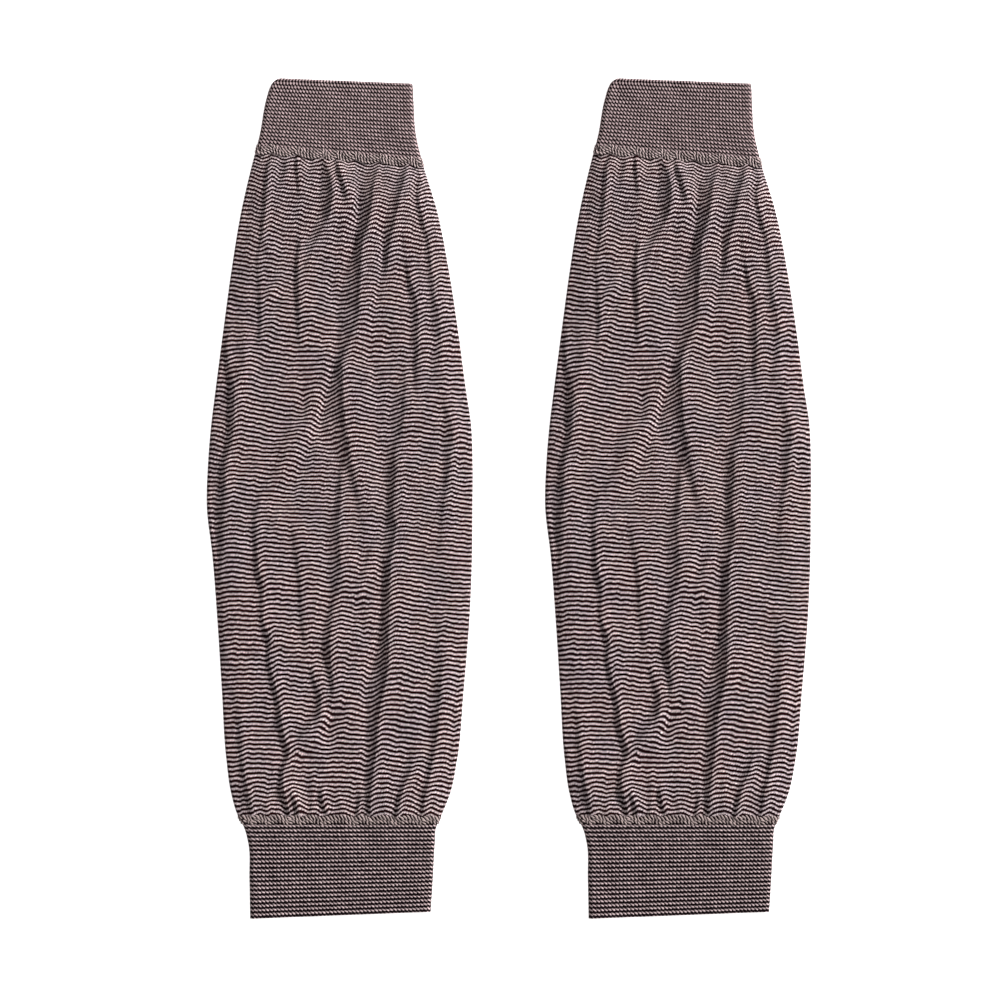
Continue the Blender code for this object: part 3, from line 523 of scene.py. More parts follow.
def linear_rgb(hex_colour: str) -> tuple[float, float, float, float]:
    """Turns an sRGB hex colour into Blender's linear colour.

    Args:
        hex_colour: Six hex digits, red first.

    Returns:
        Linear red, green, blue and an alpha of 1.
    """
    channels = [int(hex_colour[k:k + 2], 16) / 255 for k in (0, 2, 4)]
    linear = [c / 12.92 if c <= 0.04045 else ((c + 0.055) / 1.055) ** 2.4 for c in channels]
    return (*linear, 1.0)


def add_node(tree: bpy.types.NodeTree, kind: str, inputs: dict | tuple = (), **settings: Any) -> Any:
    """Adds a node with its settings, values and links.

    Args:
        tree: The node tree that gets the node.
        kind: The node's type name.
        inputs: Values or output sockets, by input name or in the inputs' order; None leaves one alone.
        settings: The node's own properties.

    Returns:
        The node's outputs.
    """
    node = tree.nodes.new(kind)
    for name, value in settings.items():
        setattr(node, name, value)
    pairs = inputs.items() if isinstance(inputs, dict) else enumerate(inputs)
    for key, value in pairs:
        if isinstance(value, bpy.types.NodeSocket):
            tree.links.new(value, node.inputs[key])
        elif value is not None:
            node.inputs[key].default_value = value
    return node.outputs


def smooth_step(value: np.ndarray) -> np.ndarray:
    """0 below 0, 1 above 1 and an S curve between."""
    t = np.clip(value, 0.0, 1.0)
    return t * t * (3.0 - 2.0 * t)


def smooth_curve(at: np.ndarray, places: np.ndarray, values: np.ndarray) -> np.ndarray:
    """Reads a smooth curve through given points, held level beyond its ends.

    Args:
        at: Where to read it.
        places: The points' places, rising.
        values: The points' values.

    Returns:
        The curve's value at each place.
    """
    places, values = np.asarray(places, float), np.asarray(values, float)
    slopes = np.gradient(values, places)
    i = np.clip(np.searchsorted(places, at, side="right") - 1, 0, len(places) - 2)
    span = places[i + 1] - places[i]
    t = np.clip((at - places[i]) / span, 0.0, 1.0)
    start = values[i] * (2 * t**3 - 3 * t**2 + 1) + slopes[i] * span * (t**3 - 2 * t**2 + t)
    end = values[i + 1] * (3 * t**2 - 2 * t**3) + slopes[i + 1] * span * (t**3 - t**2)
    return start + end


def edge_at(y: np.ndarray, side: Side) -> np.ndarray:
    """Where the outline's left or right edge is at these heights."""
    return smooth_curve(y, [row.y for row in OUTLINE], [getattr(row, side.label) for row in OUTLINE])


def soften(heights: np.ndarray) -> np.ndarray:
    """Evens each height out a little with its neighbours.

    Args:
        heights: Heights on a grid.

    Returns:
        The evened heights.
    """
    for axis in (0, 1):
        wide = np.pad(heights, [(1, 1) if k == axis else (0, 0) for k in (0, 1)], mode="edge")
        before, after = (np.take(wide, range(k, k + heights.shape[axis]), axis=axis) for k in (0, 2))
        heights = 0.25 * before + 0.5 * heights + 0.25 * after
    return heights


def gather_arcs(x: np.ndarray, gathers: tuple[float, ...]) -> np.ndarray:
    """How far the cloth is drawn towards a seam between its gathers: 1 midway and 0 where it is held."""
    return np.abs(np.sin(math.pi * np.interp(x, gathers, np.arange(len(gathers)))))


def near_line(points: tuple, reach: float, x: np.ndarray, y: np.ndarray) -> np.ndarray:
    """Finds the places near a line.

    Args:
        points: The line's points, x and y first.
        reach: How far outside the box round them still counts.
        x: Places across.
        y: Places along.

    Returns:
        True for each place near it.
    """
    line = np.array(points, float)[:, :2]
    low, high = line.min(axis=0) - reach, line.max(axis=0) + reach
    return (x > low[0]) & (x < high[0]) & (y > low[1]) & (y < high[1])


@dataclass
class FoldedCloth:
    """The rise and fall of the front layer of a sleeve, and the run of its stripes."""

    crown: float = 3.9
    edge: float = 3.0
    shoulder: float = 9.0  # how far in from the side edges it takes to reach the crown
    lowest: float = 2.3
    tallest: float = 9.0
    puff: float = 0.35  # how much further it stands up a little way from a seam
    puff_reach: float = 30.0
    seam_drop: float = 0.3  # how much lower the crown is at a seam
    seam_drop_reach: float = 5.0
    seam_hold: float = 0.4  # how much of the folds' height a seam takes away
    seam_hold_reach: float = 6.0
    edge_hold_reach: float = 1.5

    foot_share: float = 0.3  # how much of a fold's rise lies below the cloth's level
    brow_share: float = 0.3  # how much of a fold's rise is in its steep brow
    even_share: float = 0.8  # how much of the flank's climb is even, the rest growing towards the brow
    far_power: float = 1.3  # how level a fold's far side starts
    valley_shade_round: float = 0.8  # how round a valley's bottom is
    path_step: float = 1.5  # how far apart a fold's line is sampled
    fewest_steps: int = 8
    fold_reach: float = 3.0  # how many times its own reach away a fold still counts
    crease_reach: float = 4.0

    crest_lag: float = 4.5  # how far past the brow the stripes arch highest
    lag_share: float = 0.7  # the most of a fold's far side that this takes
    stripe_pull: float = 1.6  # how far the stripes shift up the sleeve for each millimetre of a fold's rise
    valley_shade_pull: float = 2.4  # how far they hang for each millimetre of a valley's depth
    wrist_arcs: float = 2.9  # how far the stripes hang between the gathers there
    wrist_arcs_reach: float = 15.0
    wrist_slant_reach: float = 24.0  # how far down they still slant as that seam does
    arm_arcs: float = 1.6  # how far they arch up there
    arm_arcs_reach: float = 11.0
    least_gap: float = 1.0  # between two lines that the stripes' sag is read from
    course_margin: float = 15.0  # how far beyond the seams the courses are counted
    course_samples: int = 800

    swell: Unevenness = Unevenness(size=0.15, length=16.0, seed=0)
    pucker: Unevenness = Unevenness(size=0.06, length=5.0, seed=1, squash=0.4)
    stripe_sway: Unevenness = Unevenness(size=0.26, length=6.5, seed=2, squash=0.3)
    stripe_jitter: Unevenness = Unevenness(size=0.12, length=3.2, seed=3, squash=0.4)

    def measure(self, points: tuple, x: np.ndarray, y: np.ndarray) -> tuple[np.ndarray, np.ndarray]:
        """Measures places from a fold's line.

        Args:
            points: The line's points, x and y first and then what else they hold.
            x: Places across.
            y: Places along.

        Returns:
            The distance from the line, positive on its right going down, and the points' other values there,
            with how upright the line runs last: 1 along the sleeve and 0 across it.
        """
        knots = np.array(points, float)
        runs = np.concatenate([[0.0], np.cumsum(np.hypot(*np.diff(knots[:, :2], axis=0).T))])
        at = np.linspace(0.0, runs[-1], max(self.fewest_steps, int(runs[-1] / self.path_step)))
        path = np.stack([smooth_curve(at, runs, knots[:, k]) for k in (0, 1)], axis=1)
        run = np.gradient(path, axis=0)
        upright = run[:, 1] ** 2 / np.sum(run**2, axis=1)
        held = np.stack([*(np.interp(at, runs, column) for column in knots[:, 2:].T), upright])
        best, signed = np.full(x.shape, np.inf), np.zeros(x.shape)
        values = np.zeros((len(held), *x.shape))
        for k in range(len(path) - 1):
            start, step = path[k], path[k + 1] - path[k]
            dx, dy = x - start[0], y - start[1]
            share = np.clip((dx * step[0] + dy * step[1]) / (step @ step), 0.0, 1.0)
            away = np.hypot(dx - share * step[0], dy - share * step[1])
            nearer = away < best
            best = np.where(nearer, away, best)
            side = np.where(step[0] * dy - step[1] * dx >= 0, 1.0, -1.0)
            signed = np.where(nearer, away * side, signed)
            for value, row in zip(values, held):
                value[nearer] = (row[k] + share * (row[k + 1] - row[k]))[nearer]
        return signed, values

    def fold(self, fold: Fold, x: np.ndarray, y: np.ndarray) -> np.ndarray:
        """Works out what one fold does to the cloth.

        Args:
            fold: The fold.
            x: Places across.
            y: Places along.

        Returns:
            How far it raises or lowers the cloth there, and how far it pulls the stripes up.
        """
        total = np.zeros((2, *x.shape))
        widest = max(point[3] for point in fold.points)
        near = near_line(fold.points, widest + self.fold_reach * max(fold.left, fold.right), x, y)
        away, (rise, flank, upright) = self.measure(fold.points, x[near], y[near])
        foot = -self.foot_share * np.exp(np.minimum(away + flank, 0.0) / fold.left)
        brow = self.brow_share * np.exp(np.minimum(away, 0.0) / fold.brow)
        along = np.clip((away + flank) / flank, 0.0, 1.0)
        slope = self.even_share * along + (1 - self.even_share) * along**3
        climb = (1 - self.brow_share) * slope + brow - self.foot_share
        lag = min(self.crest_lag, self.lag_share * fold.right)
        arch = smooth_step((away + flank) / (flank + lag)) - self.foot_share
        beyond, after = (
            (1 - self.foot_share) * np.exp(-((np.maximum(away - start, 0.0) / fold.right) ** self.far_power))
            for start in (0.0, lag))
        total[0, near] = rise * np.where(away < -flank, foot, np.where(away < 0, climb, beyond))
        drawn = np.where(away < -flank, foot, np.where(away < lag, arch, after))
        total[1, near] = self.stripe_pull * upright * rise * drawn
        return total

    def crease(self, crease: Valley | Ridge, x: np.ndarray, y: np.ndarray) -> np.ndarray:
        """Works out what a valley or a ridge does to the cloth.

        Args:
            crease: The valley or ridge.
            x: Places across.
            y: Places along.

        Returns:
            How far it raises or lowers the cloth there, and how far it pulls the stripes up.
        """
        total = np.zeros((2, *x.shape))
        near = near_line(crease.points, self.crease_reach * max(crease.left, crease.right), x, y)
        away, (size, upright) = self.measure(crease.points, x[near], y[near])
        reach = np.where(away < 0, crease.left, crease.right)
        if isinstance(crease, Ridge):
            total[:, near] = size * np.exp(-((away / reach) ** 2))
        else:
            total[:, near] = -size * np.exp(-(np.hypot(away, self.valley_shade_round) - self.valley_shade_round) / reach)
            total[1, near] *= self.valley_shade_pull
        total[1, near] *= upright
        return total

    def folds(self, x: np.ndarray, y: np.ndarray) -> np.ndarray:
        """Adds up all folds and creases, evened out where the places are a grid.

        Args:
            x: Places across.
            y: Places along.

        Returns:
            How far they raise or lower the cloth there, and how far they pull the stripes up.
        """
        total = sum(self.fold(fold, x, y) for fold in LONG_FOLDS + SMALL_FOLDS + GATHERS)
        total = total + sum(self.crease(crease, x, y) for crease in VALLEYS + RIDGES)
        return np.stack([soften(soften(part)) for part in total]) if x.ndim == 2 else total

    def height(self, x: np.ndarray, y: np.ndarray, rise: np.ndarray, from_edge: np.ndarray,
               from_seam: np.ndarray) -> np.ndarray:
        """The outer height of the front layer.

        Args:
            x: Places across.
            y: Places along.
            rise: What the folds add there.
            from_edge: Distance from the nearer side edge.
            from_seam: Distance from the nearer seam.

        Returns:
            Heights above the surface.
        """
        ripple = self.swell.at(x, y) + self.pucker.at(x, y)
        at_seam = (1 - self.seam_hold) + self.seam_hold * smooth_step(from_seam / self.seam_hold_reach)
        hold = at_seam * smooth_step(from_edge / self.edge_hold_reach)
        puff = self.puff * np.sin(math.pi * np.clip(from_seam / self.puff_reach, 0.0, 1.0))
        crown = self.crown - self.seam_drop * (1 - smooth_step(from_seam / self.seam_drop_reach)) + puff
        rounded = self.edge + smooth_step(from_edge / self.shoulder) * (crown - self.edge)
        return np.clip(rounded + (rise + ripple) * hold, self.lowest, self.tallest)

    def sag(self, x: np.ndarray, y: np.ndarray, pull: np.ndarray) -> np.ndarray:
        """Works out how far the stripes hang below their level.

        Args:
            x: Places across.
            y: Places along.
            pull: How far the folds pull them up there.

        Returns:
            How far they hang.
        """
        left, right = edge_at(y, Side.LEFT), edge_at(y, Side.RIGHT)
        edge_heights, edge_sags = np.array(RIGHT_EDGE_SAG, float)[::-1].T
        lines = [(left, np.zeros(x.shape))]
        for guide in COURSE_GUIDES:
            across, heights, sags = np.array(guide.points, float)[::-1].T
            lines.append((smooth_curve(y, heights, across), smooth_curve(y, heights, sags)))
        lines.append((right, smooth_curve(y, edge_heights, edge_sags)))
        broad = np.zeros(x.shape)
        for (x1, sag1), (x2, sag2) in zip(lines, lines[1:]):
            t = smooth_step((x - x1) / np.maximum(x2 - x1, self.least_gap))
            broad = np.where(x >= x1, sag1 + t * (sag2 - sag1), broad)
        share = np.clip((x - left) / (right - left), 0.0, 1.0)
        seam = WRIST_SEAM.left + share * (WRIST_SEAM.right - WRIST_SEAM.left)
        below = np.maximum(seam - y, 0.0)
        slant = (WRIST_SEAM.left - seam) * np.exp(-below / self.wrist_slant_reach)
        arcs = self.wrist_arcs * gather_arcs(x, WRIST_GATHERS) * np.exp(-below / self.wrist_arcs_reach)
        above = np.maximum(y - ARM_SEAM.left, 0.0)
        arcs -= self.arm_arcs * gather_arcs(x, ARM_GATHERS) * np.exp(-above / self.arm_arcs_reach)
        ripple = self.stripe_sway.at(x, y) + self.stripe_jitter.at(x, y)
        return broad + slant + arcs + ripple - pull

    def course(self, level: np.ndarray) -> np.ndarray:
        """Counts the repeats of one dark and one pale course, from a little below the arm seam.

        Args:
            level: Heights up the sleeve.

        Returns:
            The number of repeats below each.
        """
        heights, spacing = np.array(COURSE_SPACING, float).T
        low, high = heights[0] - self.course_margin, heights[-1] + self.course_margin
        fine = np.linspace(low, high, self.course_samples)
        steps = np.diff(fine) / np.interp(fine[1:], heights, spacing)
        return np.interp(level, fine, np.concatenate([[0.0], np.cumsum(steps)]))


@dataclass
class Skin:
    """Rings of points round a tube: places (rows, columns, 3) and knit coordinates (rows, columns + 1, 2)."""

    points: np.ndarray
    knit: np.ndarray


def join_skins(name: str, outer: Skin, inner: Skin, sharp: float = 50.0) -> bpy.types.Mesh:
    """Makes one closed wall of an outer and an inner skin, open at both ends like a tube.

    Args:
        name: The mesh's name.
        outer: The outer skin, its rings running up the front from left to right.
        inner: The inner skin, with the same columns.
        sharp: The angle in degrees past which an edge stays crisp.

    Returns:
        The mesh, in metres, with its knit coordinates in the UV map "Knit".
    """
    (rows, columns), inner_rows = outer.points.shape[:2], inner.points.shape[0]
    here = np.arange(columns)
    after = (here + 1) % columns
    faces, corners = [], []

    def quads(*band: tuple) -> None:
        """Adds a band of faces; each corner is (first vertex, column, knit row of its skin, knit column)."""
        faces.append(np.stack([base + column for base, column, _, _ in band], axis=1))
        corners.append(np.stack([knit_row[column] for _, _, knit_row, column in band], axis=1))

    start = rows * columns
    for i in range(rows - 1):
        low, high = i * columns, (i + 1) * columns
        quads((low, here, outer.knit[i], here), (low, after, outer.knit[i], here + 1),
              (high, after, outer.knit[i + 1], here + 1), (high, here, outer.knit[i + 1], here))
    for i in range(inner_rows - 1):
        low, high = start + i * columns, start + (i + 1) * columns
        quads((low, here, inner.knit[i], here), (high, here, inner.knit[i + 1], here),
              (high, after, inner.knit[i + 1], here + 1), (low, after, inner.knit[i], here + 1))
    top, inner_top = (rows - 1) * columns, start + (inner_rows - 1) * columns
    quads((0, here, outer.knit[0], here), (start, here, outer.knit[0], here),
          (start, after, outer.knit[0], here + 1), (0, after, outer.knit[0], here + 1))
    quads((top, here, outer.knit[-1], here), (top, after, outer.knit[-1], here + 1),
          (inner_top, after, outer.knit[-1], here + 1), (inner_top, here, outer.knit[-1], here))

    mesh = bpy.data.meshes.new(name)
    points = np.concatenate([outer.points.reshape(-1, 3), inner.points.reshape(-1, 3)]) * MM
    mesh.from_pydata(points.tolist(), [], np.concatenate(faces).tolist())
    layer = mesh.uv_layers.new(name="Knit")
    layer.data.foreach_set("uv", np.concatenate(corners).reshape(-1).astype(np.float32))
    mesh.shade_smooth()
    mesh.set_sharp_from_angle(angle=math.radians(sharp))
    mesh.validate()
    return mesh


@dataclass
class TubeGrid:
    """The rows and columns that a flattened tube's skin is laid out on, between two slanting lines."""

    start: Line
    finish: Line
    gaps: tuple[float, float]  # how far the tube stops short of each line
    alongs: np.ndarray  # each row's share of the way from start to finish
    front_columns: int
    back_columns: int
    edge_height: float

    def __post_init__(self) -> None:
        """Works out where each row starts and ends, and the front and back places."""
        sign = math.copysign(1.0, self.finish.left - self.start.left)
        first, last = sign * self.gaps[0], -sign * self.gaps[1]
        span = self.alongs
        self.left_y = self.start.left + first + span * (self.finish.left + last - self.start.left - first)
        self.right_y = self.start.right + first + span * (self.finish.right + last - self.start.right - first)
        self.left, self.right = edge_at(self.left_y, Side.LEFT), edge_at(self.right_y, Side.RIGHT)
        self.radius = np.full(span.shape, self.edge_height / 2)
        self.front_x, self.front_y = self.across(np.linspace(0.0, 1.0, self.front_columns))
        self.back_x, self.back_y = self.across(np.linspace(1.0, 0.0, self.back_columns))

    def across(self, shares: np.ndarray) -> tuple[np.ndarray, np.ndarray]:
        """Finds places on each row.

        Args:
            shares: Their shares of the way between the turned edges.

        Returns:
            The places across and along.
        """
        inside = self.left + self.radius
        reach = self.right - self.radius - inside
        x = inside[:, None] + shares * reach[:, None]
        y = self.left_y[:, None] + shares * (self.right_y - self.left_y)[:, None]
        return x, y

    def coarser(self, step: int) -> tuple["TubeGrid", np.ndarray]:
        """Thins the rows out.

        Args:
            step: Keeps one row in so many, and the last one.

        Returns:
            The same tube with fewer rows, and their numbers among its own.
        """
        rows = len(self.alongs)
        picked = np.unique(np.append(np.arange(0, rows, step), rows - 1))
        return replace(self, alongs=self.alongs[picked]), picked

    @property
    def from_edge(self) -> np.ndarray:
        """Each front place's distance from the nearer turned edge."""
        return np.minimum(self.front_x - self.front_x[:, :1], self.front_x[:, -1:] - self.front_x)

    def side_arc(self, edge: np.ndarray, y: np.ndarray, wall: float, sign: float) -> np.ndarray:
        """The cloth's turn round a side edge, from the back layer up to the front one.

        Args:
            edge: Where the edge is on each row.
            y: Each row's height up the sleeve there.
            wall: How far inside the outer face to go.
            sign: 1 for the left edge and -1 for the right.

        Returns:
            Points (rows, ARC_STEPS, 3).
        """
        turns = np.linspace(-math.pi / 2, math.pi / 2, ARC_STEPS + 1)[:-1]
        reach = (self.radius - wall)[:, None]
        x = (edge + sign * self.radius)[:, None] - sign * reach * np.cos(turns)
        z = self.radius[:, None] + reach * np.sin(turns)
        return np.stack([x, np.broadcast_to(y[:, None], x.shape), z], axis=2)

    def ring(self, front_z: np.ndarray, back_z: np.ndarray, wall: float) -> np.ndarray:
        """Joins front, side arcs and back into rings of points.

        Args:
            front_z: Heights of the front places.
            back_z: Heights of the back places.
            wall: How far inside the outer face the side arcs run.

        Returns:
            Points (rows, columns, 3), from the left edge's underside over the front and back under.
        """
        left = self.side_arc(self.left, self.left_y, wall, 1.0)
        right = self.side_arc(self.right, self.right_y, wall, -1.0)
        front = np.stack([self.front_x, self.front_y, front_z], axis=2)
        back = np.stack([self.back_x, self.back_y, back_z], axis=2)[:, :-1]
        return np.concatenate([left, front, right[:, ::-1], back], axis=1)

    def count_columns(self, front: np.ndarray, width: np.ndarray) -> np.ndarray:
        """Numbers the columns of stitches all round the tube, going on from those of the front.

        Args:
            front: The column's number at each front place.
            width: A column's width on each row.

        Returns:
            Numbers (rows, columns + 1), with the first place given twice.
        """
        turn = (self.radius / width)[:, None] * np.linspace(math.pi, 0.0, ARC_STEPS + 1)[:-1]
        left, right = front[:, :1] - turn, front[:, -1:] + turn[:, ::-1]
        back = right[:, -1:] + (self.back_x[:, :1] - self.back_x) / width[:, None]
        return np.concatenate([left, front, right, back], axis=1)


@dataclass
class JerseyBody:
    """The gathered tube of striped jersey."""

    wall: float = 1.0
    thinnest: float = 0.8
    layer_gap: float = 0.3
    rows: int = 344
    inner_step: int = 10
    front_columns: int = 214
    back_columns: int = 30
    edge_height: float = 3.0
    crowding: float = 0.25  # how much closer the rows are near the seams
    wale: float = 1.0  # the width of one column of stitches
    crease_fade: float = 0.2  # the share of a back crease that each end takes to rise
    crease_margin: float = 5.0  # how far in from the side edges the back creases reach full height
    pressed: float = 0.25  # how much of a back crease the cloth's weight presses flat
    back_hang: Unevenness = Unevenness(size=0.25, length=22.0, seed=4)

    def back_lift(self, grid: TubeGrid) -> np.ndarray:
        """Works out the back layer's creases.

        Args:
            grid: The tube's rows and columns.

        Returns:
            How far each back place lifts off the surface.
        """
        x, y = grid.back_x, grid.back_y
        total = np.zeros(x.shape)
        for crease in BACK_CREASES:
            x1, y1 = crease.start
            step = np.array(crease.end, float) - crease.start
            share = np.clip(((x - x1) * step[0] + (y - y1) * step[1]) / (step @ step), 0.0, 1.0)
            away = np.hypot(x - x1 - share * step[0], y - y1 - share * step[1])
            ends = smooth_step(share / self.crease_fade), smooth_step((1 - share) / self.crease_fade)
            total += crease.lift * np.exp(-((away / crease.width) ** 2)) * ends[0] * ends[1]
        from_edge = np.minimum(x[:, :1] - x, x - x[:, -1:])
        return np.maximum(total - self.pressed, 0.0) * smooth_step(from_edge / self.crease_margin)

    def knit(self, grid: TubeGrid, cloth: FoldedCloth, pull: np.ndarray) -> np.ndarray:
        """The wale and course of each point round the rings, with the first column given twice.

        Args:
            grid: The tube's rows and columns.
            cloth: The folds and the run of the stripes.
            pull: How the folds shift the stripes of the front.

        Returns:
            Knit coordinates (rows, columns + 1, 2).
        """
        front_course = cloth.course(grid.front_y + cloth.sag(grid.front_x, grid.front_y, pull))
        ends = front_course[:, :1], front_course[:, -1:]
        shares = np.linspace(1.0, 0.0, self.back_columns)
        hang = self.back_hang.at(grid.back_x, grid.back_y) * np.sin(math.pi * shares)
        back_course = ends[0] + (ends[1] - ends[0]) * shares + hang
        left, right = (np.repeat(end, ARC_STEPS, axis=1) for end in ends)
        course = np.concatenate([left, front_course, right, back_course], axis=1)
        wale = grid.count_columns(grid.front_x / self.wale, np.full(grid.radius.shape, self.wale))
        return np.stack([wale, course], axis=2)

    def mesh(self, cloth: FoldedCloth) -> bpy.types.Mesh:
        """Builds the tube as one closed thin wall.

        Args:
            cloth: The folds and the run of the stripes.

        Returns:
            The mesh.
        """
        steps = np.linspace(0.0, 1.0, self.rows)
        alongs = steps - self.crowding * np.sin(2 * math.pi * steps) / (2 * math.pi)
        grid = TubeGrid(ARM_SEAM, WRIST_SEAM, (SEAM_GAP / 2, SEAM_GAP / 2), alongs, self.front_columns,
                        self.back_columns, self.edge_height)
        length = WRIST_SEAM.left - ARM_SEAM.left
        from_seam = np.broadcast_to((np.minimum(alongs, 1 - alongs) * length)[:, None], grid.front_x.shape)
        rise, pull = cloth.folds(grid.front_x, grid.front_y)
        front = cloth.height(grid.front_x, grid.front_y, rise, grid.from_edge, from_seam)
        back = self.back_lift(grid)
        knit = self.knit(grid, cloth, pull)

        # The inside has fewer rows, so each stays clear of the lowest and highest cloth round it
        inner_grid, picked = grid.coarser(self.inner_step)
        window = [slice(max(i - self.inner_step, 0), i + self.inner_step + 1) for i in picked]
        lowest = np.stack([front[rows].min(axis=0) for rows in window])
        spread = np.pad(lowest, ((0, 0), (1, 1)), mode="edge")
        lowest = np.minimum(np.minimum(spread[:, :-2], spread[:, 2:]), lowest)
        highest = np.stack([back[rows].max(axis=0) for rows in window])
        ceiling = np.interp(grid.front_x[0], grid.back_x[0][::-1], highest.max(axis=0)[::-1])
        floor = self.wall + self.layer_gap + ceiling
        inner_front = np.maximum(np.minimum(front[picked] - self.wall, lowest - self.thinnest), floor)
        inner = Skin(inner_grid.ring(inner_front, highest + self.wall, self.wall), knit[picked])
        return join_skins("body", Skin(grid.ring(front, back, 0.0), knit), inner)


@dataclass
class RibCuff:
    """A tube of one by one rib, from its seam to its open edge."""

    name: str
    seam: Line
    edge: Line
    ribs: int
    courses: float
    front_wall: float = 1.7
    back_wall: float = 1.5
    relief: float = 0.3
    fullness: float = 0.8  # below 1 a rib is rounder and its valley sharper
    per_rib: int = 8
    row_height: float = 0.55
    inner_step: int = 6
    shoulder: float = 3.0  # how far in from the side edges the ribs reach full height
    lip: float = 1.1  # how far from the open edge the rib rounds over
    lip_share: float = 0.45  # how much of its relief a rib loses there
    lip_drop: float = 0.35  # how much lower it lies there
    sway: float = 0.18
    sway_length: float = 18.0

    def mesh(self) -> bpy.types.Mesh:
        """Builds the cuff as one closed wall with its ribs raised on the front.

        Returns:
            The mesh.
        """
        length = abs(self.edge.left - self.seam.left)
        alongs = np.linspace(0.0, 1.0, int(length / self.row_height))
        grid = TubeGrid(self.seam, self.edge, (SEAM_GAP / 2, 0.0), alongs, self.ribs * self.per_rib + 1,
                        self.ribs * 2 + 1, CUFF_HEIGHT)
        rib = np.linspace(0.0, self.ribs, self.ribs * self.per_rib + 1)
        bead = np.abs(np.sin(math.pi * rib)) ** self.fullness
        inside = smooth_step(grid.from_edge / self.shoulder)
        round_over = 1 - self.lip_share * (1 - smooth_step((1 - alongs)[:, None] * length / self.lip))
        unevenness = Unevenness(size=self.sway, length=self.sway_length, seed=self.ribs)
        sway = unevenness.at(grid.front_x, grid.front_y) * inside
        ribbed = CUFF_HEIGHT - self.relief + self.relief * bead * round_over
        top = ribbed + sway - self.lip_drop * (1 - round_over)
        front = CUFF_HEIGHT + (top - CUFF_HEIGHT) * inside

        width = (grid.right - grid.left) / self.ribs
        column = grid.count_columns(np.broadcast_to(rib, grid.front_x.shape), width)
        course = np.broadcast_to((alongs * self.courses)[:, None], column.shape)
        knit = np.stack([column, course], axis=2)

        inner_grid, picked = grid.coarser(self.inner_step)
        inner_front = np.full(inner_grid.front_x.shape, CUFF_HEIGHT - self.front_wall - self.sway)
        inner_back = np.full(inner_grid.back_x.shape, self.back_wall)
        outer = grid.ring(front, np.zeros(grid.back_x.shape), 0.0)
        inner = inner_grid.ring(inner_front, inner_back, self.front_wall)
        upwards = -1 if self.edge.left < self.seam.left else 1
        return join_skins(self.name, Skin(outer[::upwards], knit[::upwards]),
                          Skin(inner[::upwards], knit[picked][::upwards]))


def read_knit(tree: bpy.types.NodeTree) -> tuple[bpy.types.NodeSocket, bpy.types.NodeSocket]:
    """Reads the knit coordinates into a material, from the UV map "Knit".

    Args:
        tree: The material's tree.

    Returns:
        The column of stitches and the course.
    """
    knit = add_node(tree, "ShaderNodeUVMap", uv_map="Knit")[0]
    split = add_node(tree, "ShaderNodeSeparateXYZ", (knit,))
    return split[0], split[1]


def pale_courses(tree: bpy.types.NodeTree, course: bpy.types.NodeSocket, share: float,
                 blur: float) -> bpy.types.NodeSocket:
    """Marks the pale yarn, which takes the first share of every repeat of two courses.

    Args:
        tree: The material's tree.
        course: The number of repeats below each place.
        share: How much of a repeat is pale.
        blur: How much of a repeat each soft edge takes.

    Returns:
        1 on pale yarn and 0 on dark.
    """
    phase = add_node(tree, "ShaderNodeMath", (course,), operation="FRACT")[0]
    ramps = ((0.0, blur, 0.0, 1.0), (share, share + blur, 1.0, 0.0))
    rise, fall = (add_node(tree, "ShaderNodeMapRange", (phase, *ramp), interpolation_type="SMOOTHSTEP")[0]
                  for ramp in ramps)
    return add_node(tree, "ShaderNodeMath", (rise, fall), operation="MULTIPLY")[0]


@dataclass(frozen=True)
class YarnFinish:
    """What the finishes share: matt spun yarn in a dark and a pale colour, hardly glossy at all."""

    name: str
    dark: str
    pale: str
    roughness: float = 0.95
    sheen: float = 0.03
    gloss: float = 0.05
    relief: float = 0.3
    relief_depth: float = 0.1

    def draw(self, tree: bpy.types.NodeTree, place: bpy.types.NodeSocket) -> tuple:
        """Draws how the yarn is worked.

        Args:
            tree: The material's tree.
            place: Places in metres, for uneven patches.

        Returns:
            The colour and the height of the relief.
        """
        raise NotImplementedError

    def build(self) -> bpy.types.Material:
        """Builds the material.

        Returns:
            The material, as draw gives it.
        """
        material = bpy.data.materials.new(self.name)
        material.use_nodes = True
        tree = material.node_tree
        tree.nodes.clear()
        colour, height = self.draw(tree, add_node(tree, "ShaderNodeTexCoord")["Object"])
        bump = {"Strength": self.relief, "Distance": self.relief_depth * MM, "Height": height}
        normal = add_node(tree, "ShaderNodeBump", bump)[0]
        surface = {"Base Color": colour, "Roughness": self.roughness, "Sheen Weight": self.sheen,
                   "Specular IOR Level": self.gloss, "Normal": normal}
        shader = add_node(tree, "ShaderNodeBsdfPrincipled", surface)[0]
        add_node(tree, "ShaderNodeOutputMaterial", {"Surface": shader})
        return material


